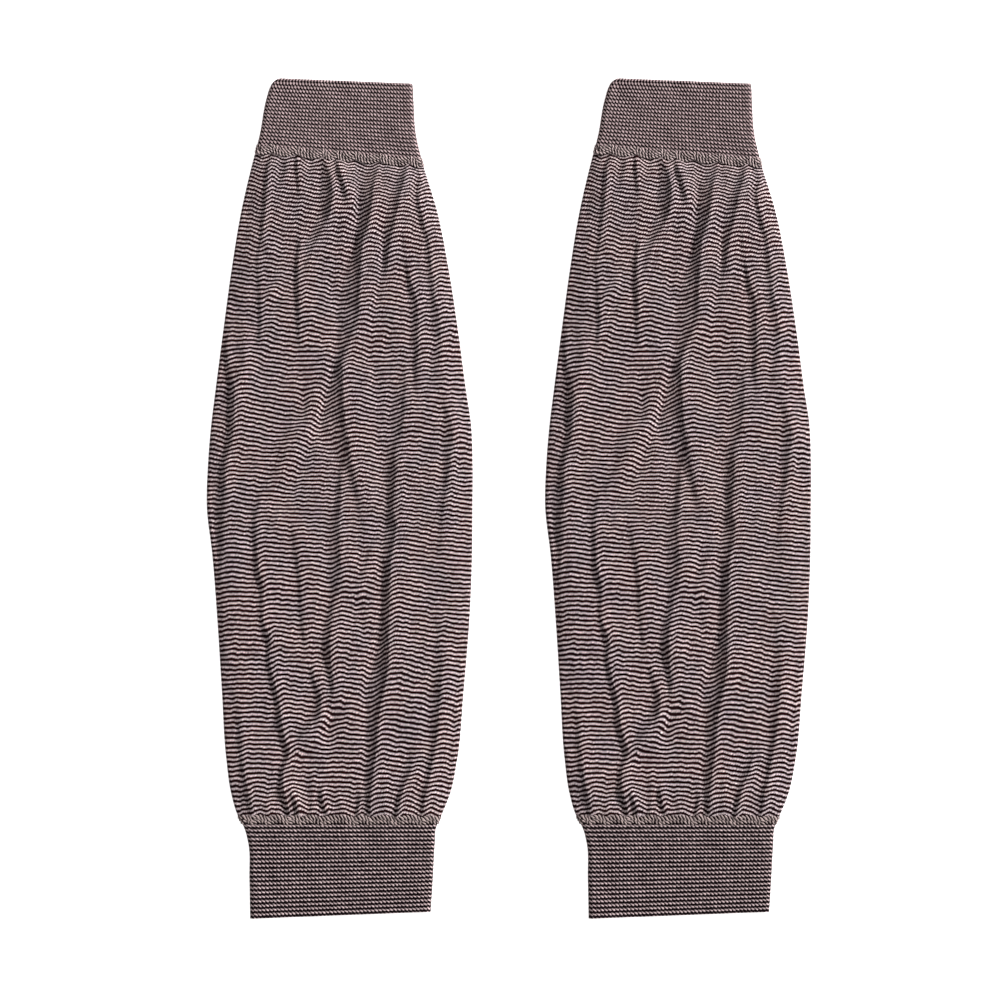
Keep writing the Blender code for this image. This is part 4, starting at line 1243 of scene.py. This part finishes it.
@dataclass(frozen=True)
class JerseyFinish(YarnFinish):
    """Plain knit of fine carded wool and cotton yarn in two colours, one course of each.

    To the eye: matt narrow stripes, the pale course puffed and narrower than the dark one, with a slanting
    stroke for each stitch and a soft uneven edge between the colours.
    """

    name: str = "striped_jersey_knit"
    dark: str = "22080b"
    pale: str = "d1baba"
    relief: float = 0.35
    relief_depth: float = 0.12
    darker: str = "190509"
    cool_pale: str = "c7b4b8"
    speck: str = "ece2de"
    pale_share: float = 0.39
    blur: float = 0.15
    lean: float = 1.55  # strokes that a stroke leans over one stripe repeat
    stroke_pitch: float = 1.2  # stitches; drawn coarser than knitted, which would blur to plain colour
    drift: float = 1.6  # strokes that the yarn wanders aside
    drift_waves: float = 260.0  # a metre, so 4 mm each
    jag: float = 0.07  # how far a stroke shifts the stripe's edge, in repeats
    wander: float = 0.12  # how far the yarn wanders up and down, in repeats
    wander_waves: float = 900.0  # 1.1 mm each
    patch_waves: float = 70.0  # 14 mm each
    patch_range: tuple[float, float] = (0.38, 0.62)  # of the noise, from warm to cool
    fibre_waves: float = 1600.0  # 0.6 mm each
    fibre_range: tuple[float, float] = (0.52, 0.75)
    tuft_waves: float = 800.0  # 1.3 mm each
    tuft_range: tuple[float, float] = (0.3, 0.7)
    # Painted shade in a stroke's groove and painted light on its crest
    groove_light: float = 0.5
    crest_light: float = 1.3
    thin_light: float = 0.66
    thick_light: float = 1.34
    speck_strength: float = 0.6
    bead_relief: float = 0.8
    stroke_relief: float = 0.25

    def draw(self, tree: bpy.types.NodeTree, place: bpy.types.NodeSocket) -> tuple:
        """Draws striped jersey.

        Args:
            tree: The material's tree.
            place: Places in metres, for uneven patches.

        Returns:
            The colour and the height of the relief.
        """
        wale, course = read_knit(tree)
        noises = ((self.drift_waves, 1.0), (self.wander_waves, 1.0), (self.patch_waves, 2.0),
                  (self.fibre_waves, 2.0), (self.tuft_waves, 1.0))
        drifts, wanders, patches, fibres, tufts = (
            add_node(tree, "ShaderNodeTexNoise", {"Vector": place, "Scale": waves, "Detail": detail})[0]
            for waves, detail in noises)

        # A leaning stroke for each stitch makes the stripes' edges jagged, on yarn that wanders a little
        leaning = add_node(tree, "ShaderNodeMath", (wale, 1 / self.stroke_pitch), operation="MULTIPLY")[0]
        lean = add_node(tree, "ShaderNodeMath", (course, -self.lean, leaning), operation="MULTIPLY_ADD")[0]
        loose = add_node(tree, "ShaderNodeMath", (drifts, self.drift, lean), operation="MULTIPLY_ADD")[0]
        turn = add_node(tree, "ShaderNodeMath", (loose, 2 * math.pi), operation="MULTIPLY")[0]
        stroke = add_node(tree, "ShaderNodeMath", (turn,), operation="COSINE")[0]
        jagged = add_node(tree, "ShaderNodeMath", (stroke, self.jag, course), operation="MULTIPLY_ADD")[0]
        uneven = add_node(tree, "ShaderNodeMath", (wanders, self.wander, jagged), operation="MULTIPLY_ADD")[0]
        is_pale = pale_courses(tree, uneven, self.pale_share, self.blur)

        # Each yarn has warm and cool patches, and the pale one lighter specks of fibre
        patch = add_node(tree, "ShaderNodeMapRange", (patches, *self.patch_range))[0]
        speck_range = (fibres, *self.fibre_range, 0.0, self.speck_strength)
        speckle = add_node(tree, "ShaderNodeMapRange", speck_range)[0]
        pale, cool, dark, darker, speck = (
            linear_rgb(colour) for colour in (self.pale, self.cool_pale, self.dark, self.darker, self.speck))
        pale = add_node(tree, "ShaderNodeMix", {0: patch, 6: pale, 7: cool}, data_type="RGBA")["Result"]
        pale = add_node(tree, "ShaderNodeMix", {0: speckle, 6: pale, 7: speck}, data_type="RGBA")["Result"]
        dark = add_node(tree, "ShaderNodeMix", {0: patch, 6: dark, 7: darker}, data_type="RGBA")["Result"]
        yarn = add_node(tree, "ShaderNodeMix", {0: is_pale, 6: dark, 7: pale}, data_type="RGBA")["Result"]

        # Painted light and shade: the stroke is painted lighter on its crest and darker in the groove beside
        # it, on yarn of uneven thickness
        crest_range = (stroke, -1.0, 1.0, self.groove_light, self.crest_light)
        crest = add_node(tree, "ShaderNodeMapRange", crest_range)[0]
        light_range = (tufts, *self.tuft_range, self.thin_light, self.thick_light)
        tuft = add_node(tree, "ShaderNodeMapRange", light_range)[0]
        shade = add_node(tree, "ShaderNodeMath", (crest, tuft), operation="MULTIPLY")[0]
        colour = add_node(tree, "ShaderNodeVectorMath", {0: yarn, "Scale": shade}, operation="SCALE")[0]

        # Relief: each pale course is a round bead, and each stitch stands up in it
        bead = add_node(tree, "ShaderNodeMath", (is_pale, self.bead_relief), operation="MULTIPLY")[0]
        raised = (stroke, self.stroke_relief, bead)
        return colour, add_node(tree, "ShaderNodeMath", raised, operation="MULTIPLY_ADD")[0]


@dataclass(frozen=True)
class RibFinish(YarnFinish):
    """One by one rib of the same two yarns.

    To the eye: rows of pale slanting beads, one on each rib, joined by a thread in the valleys, with unbroken
    dark rows between them. Painted highlight and shade: the beads are painted brightest on the middle of
    their rib, and the thread painted dimmer in the valleys.
    """

    dark: str = "10060a"
    pale: str = "c6b0b1"
    pale_share: float = 0.31
    blur: float = 0.14
    slant: float = -0.4  # of a row, from one side of a rib to the other
    crest: float = 1.08  # painted highlight: how bright the bead is painted on the middle of its rib
    valley_shade: float = 0.62  # painted shade: how bright the thread is painted between two ribs
    sides: tuple[float, float] = (0.18, 0.5)  # where a bead starts to dim and ends, in ribs from its middle
    wander: float = 0.34  # how far the yarn wanders up and down, in rows
    wander_waves: float = 700.0  # a metre, so 1.4 mm each
    fibre_waves: float = 1000.0  # 1 mm each
    fibre_range: tuple[float, float] = (0.3, 0.7)
    thin_light: float = 0.7
    thick_light: float = 1.3
    bead_relief: float = 0.5

    def draw(self, tree: bpy.types.NodeTree, place: bpy.types.NodeSocket) -> tuple:
        """Draws striped rib.

        Args:
            tree: The material's tree.
            place: Places in metres, for uneven patches.

        Returns:
            The colour and the height of the relief.
        """
        rib, course = read_knit(tree)
        wanders, fibres = (
            add_node(tree, "ShaderNodeTexNoise", {"Vector": place, "Scale": waves, "Detail": detail})[0]
            for waves, detail in ((self.wander_waves, 1.0), (self.fibre_waves, 2.0)))
        across = add_node(tree, "ShaderNodeMath", (rib,), operation="FRACT")[0]
        loose = add_node(tree, "ShaderNodeMath", (wanders, self.wander, course), operation="MULTIPLY_ADD")[0]
        slanted = add_node(tree, "ShaderNodeMath", (across, self.slant, loose), operation="MULTIPLY_ADD")[0]
        is_pale = pale_courses(tree, slanted, self.pale_share, self.blur)
        dark, pale = linear_rgb(self.dark), linear_rgb(self.pale)
        yarn = add_node(tree, "ShaderNodeMix", {0: is_pale, 6: dark, 7: pale}, data_type="RGBA")["Result"]

        # Painted highlight and shade: the bead is painted brightest on the middle of its rib and dimmer
        # towards the valleys, on yarn of uneven thickness
        half = add_node(tree, "ShaderNodeMath", (across, 0.5), operation="SUBTRACT")[0]
        away = add_node(tree, "ShaderNodeMath", (half,), operation="ABSOLUTE")[0]
        lit = add_node(tree, "ShaderNodeMapRange", (away, *self.sides, self.crest, self.valley_shade),
                       interpolation_type="SMOOTHSTEP")[0]
        light_range = (fibres, *self.fibre_range, self.thin_light, self.thick_light)
        fleck = add_node(tree, "ShaderNodeMapRange", light_range)[0]
        shade = add_node(tree, "ShaderNodeMath", (lit, fleck), operation="MULTIPLY")[0]
        colour = add_node(tree, "ShaderNodeVectorMath", {0: yarn, "Scale": shade}, operation="SCALE")[0]

        # Relief: each rib leans up to its right side, and the beads stand up on it
        raised = (is_pale, self.bead_relief, across)
        return colour, add_node(tree, "ShaderNodeMath", raised, operation="MULTIPLY_ADD")[0]


@dataclass(frozen=True)
class StitchFinish(YarnFinish):
    """Linking yarn of the seams, dark and pale twisted together.

    To the eye: short matt strokes, every other one dark.
    """

    dark: str = "14080b"
    pale: str = "dac4c2"
    roughness: float = 0.92
    relief_depth: float = 0.08
    fibre_waves: float = 1800.0  # a metre, so 0.6 mm each

    def draw(self, tree: bpy.types.NodeTree, place: bpy.types.NodeSocket) -> tuple:
        """Draws twisted yarn, as dark or pale as the stitch's own shade.

        Args:
            tree: The material's tree.
            place: Places in metres, for uneven patches.

        Returns:
            The colour and the height of the relief.
        """
        shade = add_node(tree, "ShaderNodeAttribute", attribute_name="yarn_shade")["Fac"]
        dark, pale = linear_rgb(self.dark), linear_rgb(self.pale)
        yarn = add_node(tree, "ShaderNodeMix", {0: shade, 6: dark, 7: pale}, data_type="RGBA")["Result"]
        fibres = {"Vector": place, "Scale": self.fibre_waves, "Detail": 1.0}
        return yarn, add_node(tree, "ShaderNodeTexNoise", fibres)[0]


@dataclass
class LinkedSeam:
    """Rows of linking stitches round the sleeve where a cuff meets the body, made by Geometry Nodes."""

    name: str
    seam: Line
    offsets: tuple[float, ...]
    pitch: float
    slant: float  # degrees from the seam's own direction
    looseness: float  # degrees either way
    stitch: tuple[float, float, float]  # length, width and thickness
    shades: tuple[float, float]  # darkest and palest
    scallop: float  # how far it shifts up the sleeve midway between two gathers
    gathers: tuple[float, ...]
    proud: float = 0.12
    clearance: float = 0.66  # of a stitch's thickness, from its middle down to the surface
    row_points: int = 120
    arc_points: int = 8
    capsule: tuple[int, int] = (8, 5)  # segments and rings of a stitch
    smallest: float = 0.8
    largest: float = 1.15
    mottle: float = 0.15

    def rows(self, cloth: FoldedCloth) -> bpy.types.Mesh:
        """Lays the stitch rows round the tube as edges, each point with its outward direction.

        Args:
            cloth: The folds, whose height at the seam the body side rests on.

        Returns:
            A mesh of closed lines with the attribute "outward".
        """
        points, edges, outward = [], [], []
        lowest = self.clearance * self.stitch[2]
        radius = CUFF_HEIGHT / 2
        shares = np.linspace(0.0, 1.0, self.row_points)
        turns = np.linspace(math.pi / 2, -math.pi / 2, self.arc_points + 2)[1:-1]
        right_out, left_out = (np.stack([sign * np.cos(turns), 0 * turns, np.sin(turns)], axis=1)
                               for sign in (1.0, -1.0))
        left_out = left_out[::-1]
        up = np.tile((0.0, 0.0, 1.0), (self.row_points, 1))
        for offset in self.offsets:
            left_y, right_y = self.seam.left + offset, self.seam.right + offset
            left = float(edge_at(np.array(left_y), Side.LEFT))
            right = float(edge_at(np.array(right_y), Side.RIGHT))
            x = left + radius + shares * (right - left - 2 * radius)
            straight = left_y + shares * (right_y - left_y)
            y = straight + self.scallop * (gather_arcs(x, self.gathers) - 0.5)
            from_edge = np.minimum(x - x[0], x[-1] - x)
            from_seam = np.full(x.shape, abs(offset))
            body = cloth.height(x, y, cloth.folds(x, y)[0], from_edge, from_seam)
            on_body = offset * math.copysign(1.0, self.seam.left) < 0
            z = np.maximum(body, CUFF_HEIGHT) if on_body else np.full(x.shape, CUFF_HEIGHT)
            front = np.stack([x, y, z + self.proud], axis=1)
            right_arc = np.array((right - radius, right_y, radius)) + (radius + self.proud) * right_out
            under = np.stack([x, straight, np.full(x.shape, lowest)], axis=1)[::-1]
            left_arc = np.array((left + radius, left_y, radius)) + (radius + self.proud) * left_out
            ring = np.concatenate([front, right_arc, under, left_arc])
            ring[:, 2] = np.maximum(ring[:, 2], lowest)
            base, count = len(ring) * len(points), len(ring)
            points.append(ring)
            outward.append(np.concatenate([up, right_out, -up, left_out]))
            edges += [(base + k, base + (k + 1) % count) for k in range(count)]
        mesh = bpy.data.meshes.new(f"{self.name}_rows")
        mesh.from_pydata((np.concatenate(points) * MM).tolist(), edges, [])
        layer = mesh.attributes.new("outward", "FLOAT_VECTOR", "POINT")
        layer.data.foreach_set("vector", np.concatenate(outward).reshape(-1).astype(np.float32))
        return mesh

    def tree(self, material: bpy.types.Material) -> bpy.types.NodeTree:
        """Builds the node tree that sets one stitch at each step along the rows.

        Args:
            material: The stitches' material.

        Returns:
            The tree, with its sizes as named inputs.
        """
        tree = bpy.data.node_groups.new(f"{self.name}_stitches", "GeometryNodeTree")
        tree.interface.new_socket("Rows", in_out="INPUT", socket_type="NodeSocketGeometry")
        for name in ("Pitch", "Slant", "Looseness", "Length", "Width", "Thickness", "Darkest", "Palest"):
            tree.interface.new_socket(name, in_out="INPUT", socket_type="NodeSocketFloat")
        tree.interface.new_socket("Seed", in_out="INPUT", socket_type="NodeSocketInt")
        tree.interface.new_socket("Stitches", in_out="OUTPUT", socket_type="NodeSocketGeometry")
        given = add_node(tree, "NodeGroupInput")
        aside, uneven, mottle = (
            add_node(tree, "FunctionNodeRandomValue", {2: low, 3: high, "Seed": given["Seed"]})[1]
            for low, high in ((-1.0, 1.0), (self.smallest, self.largest), (-self.mottle, self.mottle)))

        # One stitch: a ball drawn out to its length, width and thickness
        segments, rings = self.capsule
        ball = {"Segments": segments, "Rings": rings, "Radius": 0.5}
        capsule = add_node(tree, "GeometryNodeMeshUVSphere", ball)["Mesh"]
        sides = (given["Length"], given["Width"], given["Thickness"])
        size = add_node(tree, "ShaderNodeCombineXYZ", sides)[0]
        stitch = add_node(tree, "GeometryNodeTransform", {"Geometry": capsule, "Scale": size})[0]
        stitch = add_node(tree, "GeometryNodeSetShadeSmooth", {"Geometry": stitch})[0]

        # It lies along the row and faces out, turned by the slant and a little at random
        curve = add_node(tree, "GeometryNodeMeshToCurve", {"Mesh": given["Rows"]})[0]
        spaced = {"Curve": curve, "Length": given["Pitch"]}
        steps = add_node(tree, "GeometryNodeResampleCurve", spaced, mode="LENGTH")[0]
        outward = add_node(tree, "GeometryNodeInputNamedAttribute", {"Name": "outward"},
                           data_type="FLOAT_VECTOR")[0]
        tangent = add_node(tree, "GeometryNodeInputTangent")[0]
        turned = add_node(tree, "FunctionNodeAlignRotationToVector", {"Vector": outward}, axis="Z")[0]
        turned = add_node(tree, "FunctionNodeAlignRotationToVector", {"Rotation": turned, "Vector": tangent},
                          axis="X", pivot_axis="Z")[0]
        angle = add_node(tree, "ShaderNodeMath", (aside, given["Looseness"], given["Slant"]),
                         operation="MULTIPLY_ADD")[0]
        spin = add_node(tree, "ShaderNodeCombineXYZ", (0.0, 0.0, angle))[0]
        turned = add_node(tree, "FunctionNodeRotateRotation", {"Rotation": turned, "Rotate By": spin},
                          rotation_space="LOCAL")[0]
        placed = add_node(tree, "GeometryNodeInstanceOnPoints",
                          {"Points": steps, "Instance": stitch, "Rotation": turned, "Scale": uneven})[0]

        # Every other stitch is pale
        index = add_node(tree, "GeometryNodeInputIndex")[0]
        odd = add_node(tree, "ShaderNodeMath", (index, 2.0), operation="MODULO")[0]
        even = add_node(tree, "ShaderNodeMapRange", (odd, 0.0, 1.0, given["Darkest"], given["Palest"]))[0]
        shade = add_node(tree, "ShaderNodeMath", (even, mottle), operation="ADD", use_clamp=True)[0]
        placed = add_node(tree, "GeometryNodeStoreNamedAttribute",
                          {"Geometry": placed, "Name": "yarn_shade", "Value": shade}, domain="INSTANCE")[0]
        solid = add_node(tree, "GeometryNodeRealizeInstances", {"Geometry": placed})[0]
        dressed = add_node(tree, "GeometryNodeSetMaterial", {"Geometry": solid, "Material": material})[0]
        add_node(tree, "NodeGroupOutput", {"Stitches": dressed})
        return tree

    def mesh(self, cloth: FoldedCloth, material: bpy.types.Material) -> bpy.types.Mesh:
        """Builds the seam's stitches as one plain mesh.

        Args:
            cloth: The folds, for the height that the stitches lie at.
            material: The stitches' material.

        Returns:
            The mesh, with its material.
        """
        holder = bpy.data.objects.new(f"{self.name}_holder", self.rows(cloth))
        bpy.context.scene.collection.objects.link(holder)
        modifier = holder.modifiers.new("stitches", "NODES")
        modifier.node_group = self.tree(material)
        length, width, thickness = (side * MM for side in self.stitch)
        sizes = {"Pitch": self.pitch * MM, "Slant": math.radians(self.slant),
                 "Looseness": math.radians(self.looseness), "Length": length, "Width": width,
                 "Thickness": thickness, "Darkest": self.shades[0], "Palest": self.shades[1], "Seed": SEED}
        for item in modifier.node_group.interface.items_tree:
            if item.in_out == "INPUT" and item.name in sizes:
                modifier[item.identifier] = sizes[item.name]
        holder.update_tag()
        graph = bpy.context.evaluated_depsgraph_get()
        mesh = bpy.data.meshes.new_from_object(holder.evaluated_get(graph), depsgraph=graph)
        bpy.data.objects.remove(holder)
        mesh.name = self.name

        # The stitches underneath lie pressed flat on the surface
        places = np.empty(3 * len(mesh.vertices), np.float32)
        mesh.vertices.foreach_get("co", places)
        places[2::3] = np.maximum(places[2::3], 0.0)
        mesh.vertices.foreach_set("co", places)
        return mesh


@dataclass
class Studio:
    """A white table under soft studio light, and a camera straight above it."""

    view_width: float = 500.0
    aim: tuple[float, float] = (-4.5, -0.75)
    lens: float = 135.0
    sensor: float = 36.0
    clip: tuple[float, float] = (0.05, 20.0)  # metres
    sun_turn: float = 28.0  # degrees from +X towards +Y
    sun_height: float = 24.0  # degrees up
    sun_strength: float = 5.6
    sun_softness: float = 14.0  # degrees across
    sky: float = 0.32
    white: str = "ffffff"
    table: str = "f4f4f4"
    table_roughness: float = 0.8
    table_gloss: float = 0.1
    table_glow: float = 0.9
    table_size: float = 20.0  # metres

    def light(self) -> None:
        """Adds the sun and the even sky."""
        sun = bpy.data.lights.new("studio_key", "SUN")
        sun.energy = self.sun_strength
        sun.angle = math.radians(self.sun_softness)
        lamp = bpy.data.objects.new("studio_key", sun)
        turn, rise = math.radians(self.sun_turn), math.radians(self.sun_height)
        level = math.cos(rise)
        towards = Vector((math.cos(turn) * level, math.sin(turn) * level, math.sin(rise)))
        lamp.rotation_euler = towards.to_track_quat("Z", "Y").to_euler()
        lamp.location = towards
        bpy.context.scene.collection.objects.link(lamp)
        world = bpy.data.worlds.new("studio")
        world.use_nodes = True
        background = world.node_tree.nodes["Background"]
        background.inputs["Color"].default_value = linear_rgb(self.white)
        background.inputs["Strength"].default_value = self.sky
        bpy.context.scene.world = world
        bpy.context.scene.view_settings.view_transform = "Standard"

    def floor(self) -> bpy.types.Object:
        """Makes the table top, which glows a little so that it stays white in the shade.

        Returns:
            The table top.
        """
        half = self.table_size / 2
        mesh = bpy.data.meshes.new("table_top")
        corners = [(-half, -half, 0.0), (half, -half, 0.0), (half, half, 0.0), (-half, half, 0.0)]
        mesh.from_pydata(corners, [], [(0, 1, 2, 3)])
        # White painted board: an even, matt ground
        material = bpy.data.materials.new("white_table")
        material.use_nodes = True
        shader = material.node_tree.nodes["Principled BSDF"]
        values = {"Base Color": linear_rgb(self.table), "Roughness": self.table_roughness,
                  "Specular IOR Level": self.table_gloss, "Emission Color": linear_rgb(self.white),
                  "Emission Strength": self.table_glow}
        for name, value in values.items():
            shader.inputs[name].default_value = value
        mesh.materials.append(material)
        table = bpy.data.objects.new("table_top", mesh)
        bpy.context.scene.collection.objects.link(table)
        return table

    def camera(self) -> None:
        """Hangs the camera over the pair, looking straight down with the wrists at the top."""
        data = bpy.data.cameras.new("camera")
        data.lens, data.sensor_width = self.lens, self.sensor
        data.clip_start, data.clip_end = self.clip
        above = self.view_width * self.lens / self.sensor
        camera = bpy.data.objects.new("camera", data)
        camera.location = Vector((*self.aim, above)) * MM
        bpy.context.scene.collection.objects.link(camera)
        bpy.context.scene.camera = camera


@dataclass(frozen=True)
class Cut:
    """The flat cloth that a piece is knitted as, all round its tube, metres."""

    width: float
    length: float


@dataclass
class ArmSleeves:
    """The pair of sleeves: one set of meshes, laid out twice."""

    body_cut: Cut = Cut(width=0.27, length=0.335)
    wrist_cut: Cut = Cut(width=0.16, length=0.040)
    arm_cut: Cut = Cut(width=0.19, length=0.048)

    def lay(self, side: Side, name: str, mesh: bpy.types.Mesh) -> bpy.types.Object:
        """Adds one sleeve's copy of a piece, with its place in its mesh.

        Args:
            side: Which sleeve it belongs to.
            name: The piece's name within a sleeve.
            mesh: The mesh, made round the sleeve's own middle.

        Returns:
            The piece, at the origin.
        """
        own = mesh.copy()
        own.transform(Matrix.Translation(side.shift))
        piece = bpy.data.objects.new(f"{side.label}_{name}", own)
        bpy.context.scene.collection.objects.link(piece)
        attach(piece, "root")
        LOG.info("%s: %d faces", piece.name, len(own.polygons))
        return piece

    def build(self) -> None:
        cloth = FoldedCloth()
        jersey = JerseyFinish().build()
        fine = RibFinish("fine_rib_knit", pale="bea6a7", pale_share=0.43, slant=0.62, valley_shade=0.5).build()
        coarse = RibFinish("coarse_rib_knit").build()
        wrist_cuff = RibCuff("wrist_cuff", WRIST_SEAM, WRIST_EDGE, ribs=42, courses=20.0)
        arm_cuff = RibCuff("arm_cuff", ARM_SEAM, ARM_EDGE, ribs=46, courses=22.2)
        knits = (
            ("knit_body", "body", JerseyBody().mesh(cloth), jersey, "striped_jersey", self.body_cut),
            ("rib_wrist_cuff", "wrist_cuff", wrist_cuff.mesh(), fine, "fine_rib", self.wrist_cut),
            ("rib_arm_cuff", "arm_cuff", arm_cuff.mesh(), coarse, "coarse_rib", self.arm_cut),
        )
        mixed = StitchFinish("mixed_linking_yarn").build()
        pale = StitchFinish("pale_linking_yarn", pale="cbb6b3").build()
        wrist_seam = LinkedSeam("wrist_seam", WRIST_SEAM, offsets=(2.8, 1.4, 0.0), pitch=0.8, slant=-50.0,
                                looseness=7.0, stitch=(2.0, 0.6, 0.5), shades=(0.0, 0.92), scallop=-1.6,
                                gathers=WRIST_GATHERS)
        arm_seam = LinkedSeam("arm_seam", ARM_SEAM, offsets=(1.3, 0.1, -1.2), pitch=0.9, slant=-52.0,
                              looseness=16.0, stitch=(2.6, 0.7, 0.5), shades=(0.0, 0.8), scallop=1.1,
                              gathers=ARM_GATHERS)
        seams = (
            ("wrist_seam_stitches", wrist_seam.mesh(cloth, mixed), "fine_rib"),
            ("arm_seam_stitches", arm_seam.mesh(cloth, pale), "coarse_rib"),
        )
        for side in Side:
            for name, node, mesh, material, slot, cut in knits:
                piece = self.lay(side, name, mesh)
                piece.data.materials.append(material)
                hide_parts(f"{side.label}_{node}")
            for name, mesh, slot in seams:
                self.lay(side, name, mesh)


def main() -> None:
    """Loads the frame, builds the pair and the studio."""
    logging.basicConfig(level=logging.INFO, format="%(name)s: %(message)s")
    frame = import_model()
    LOG.info("frame with %d nodes", len(frame["nodes"]))
    studio = Studio()
    studio.camera()
    studio.light()
    studio.floor()
    ArmSleeves().build()


if __name__ == "__main__":
    main()
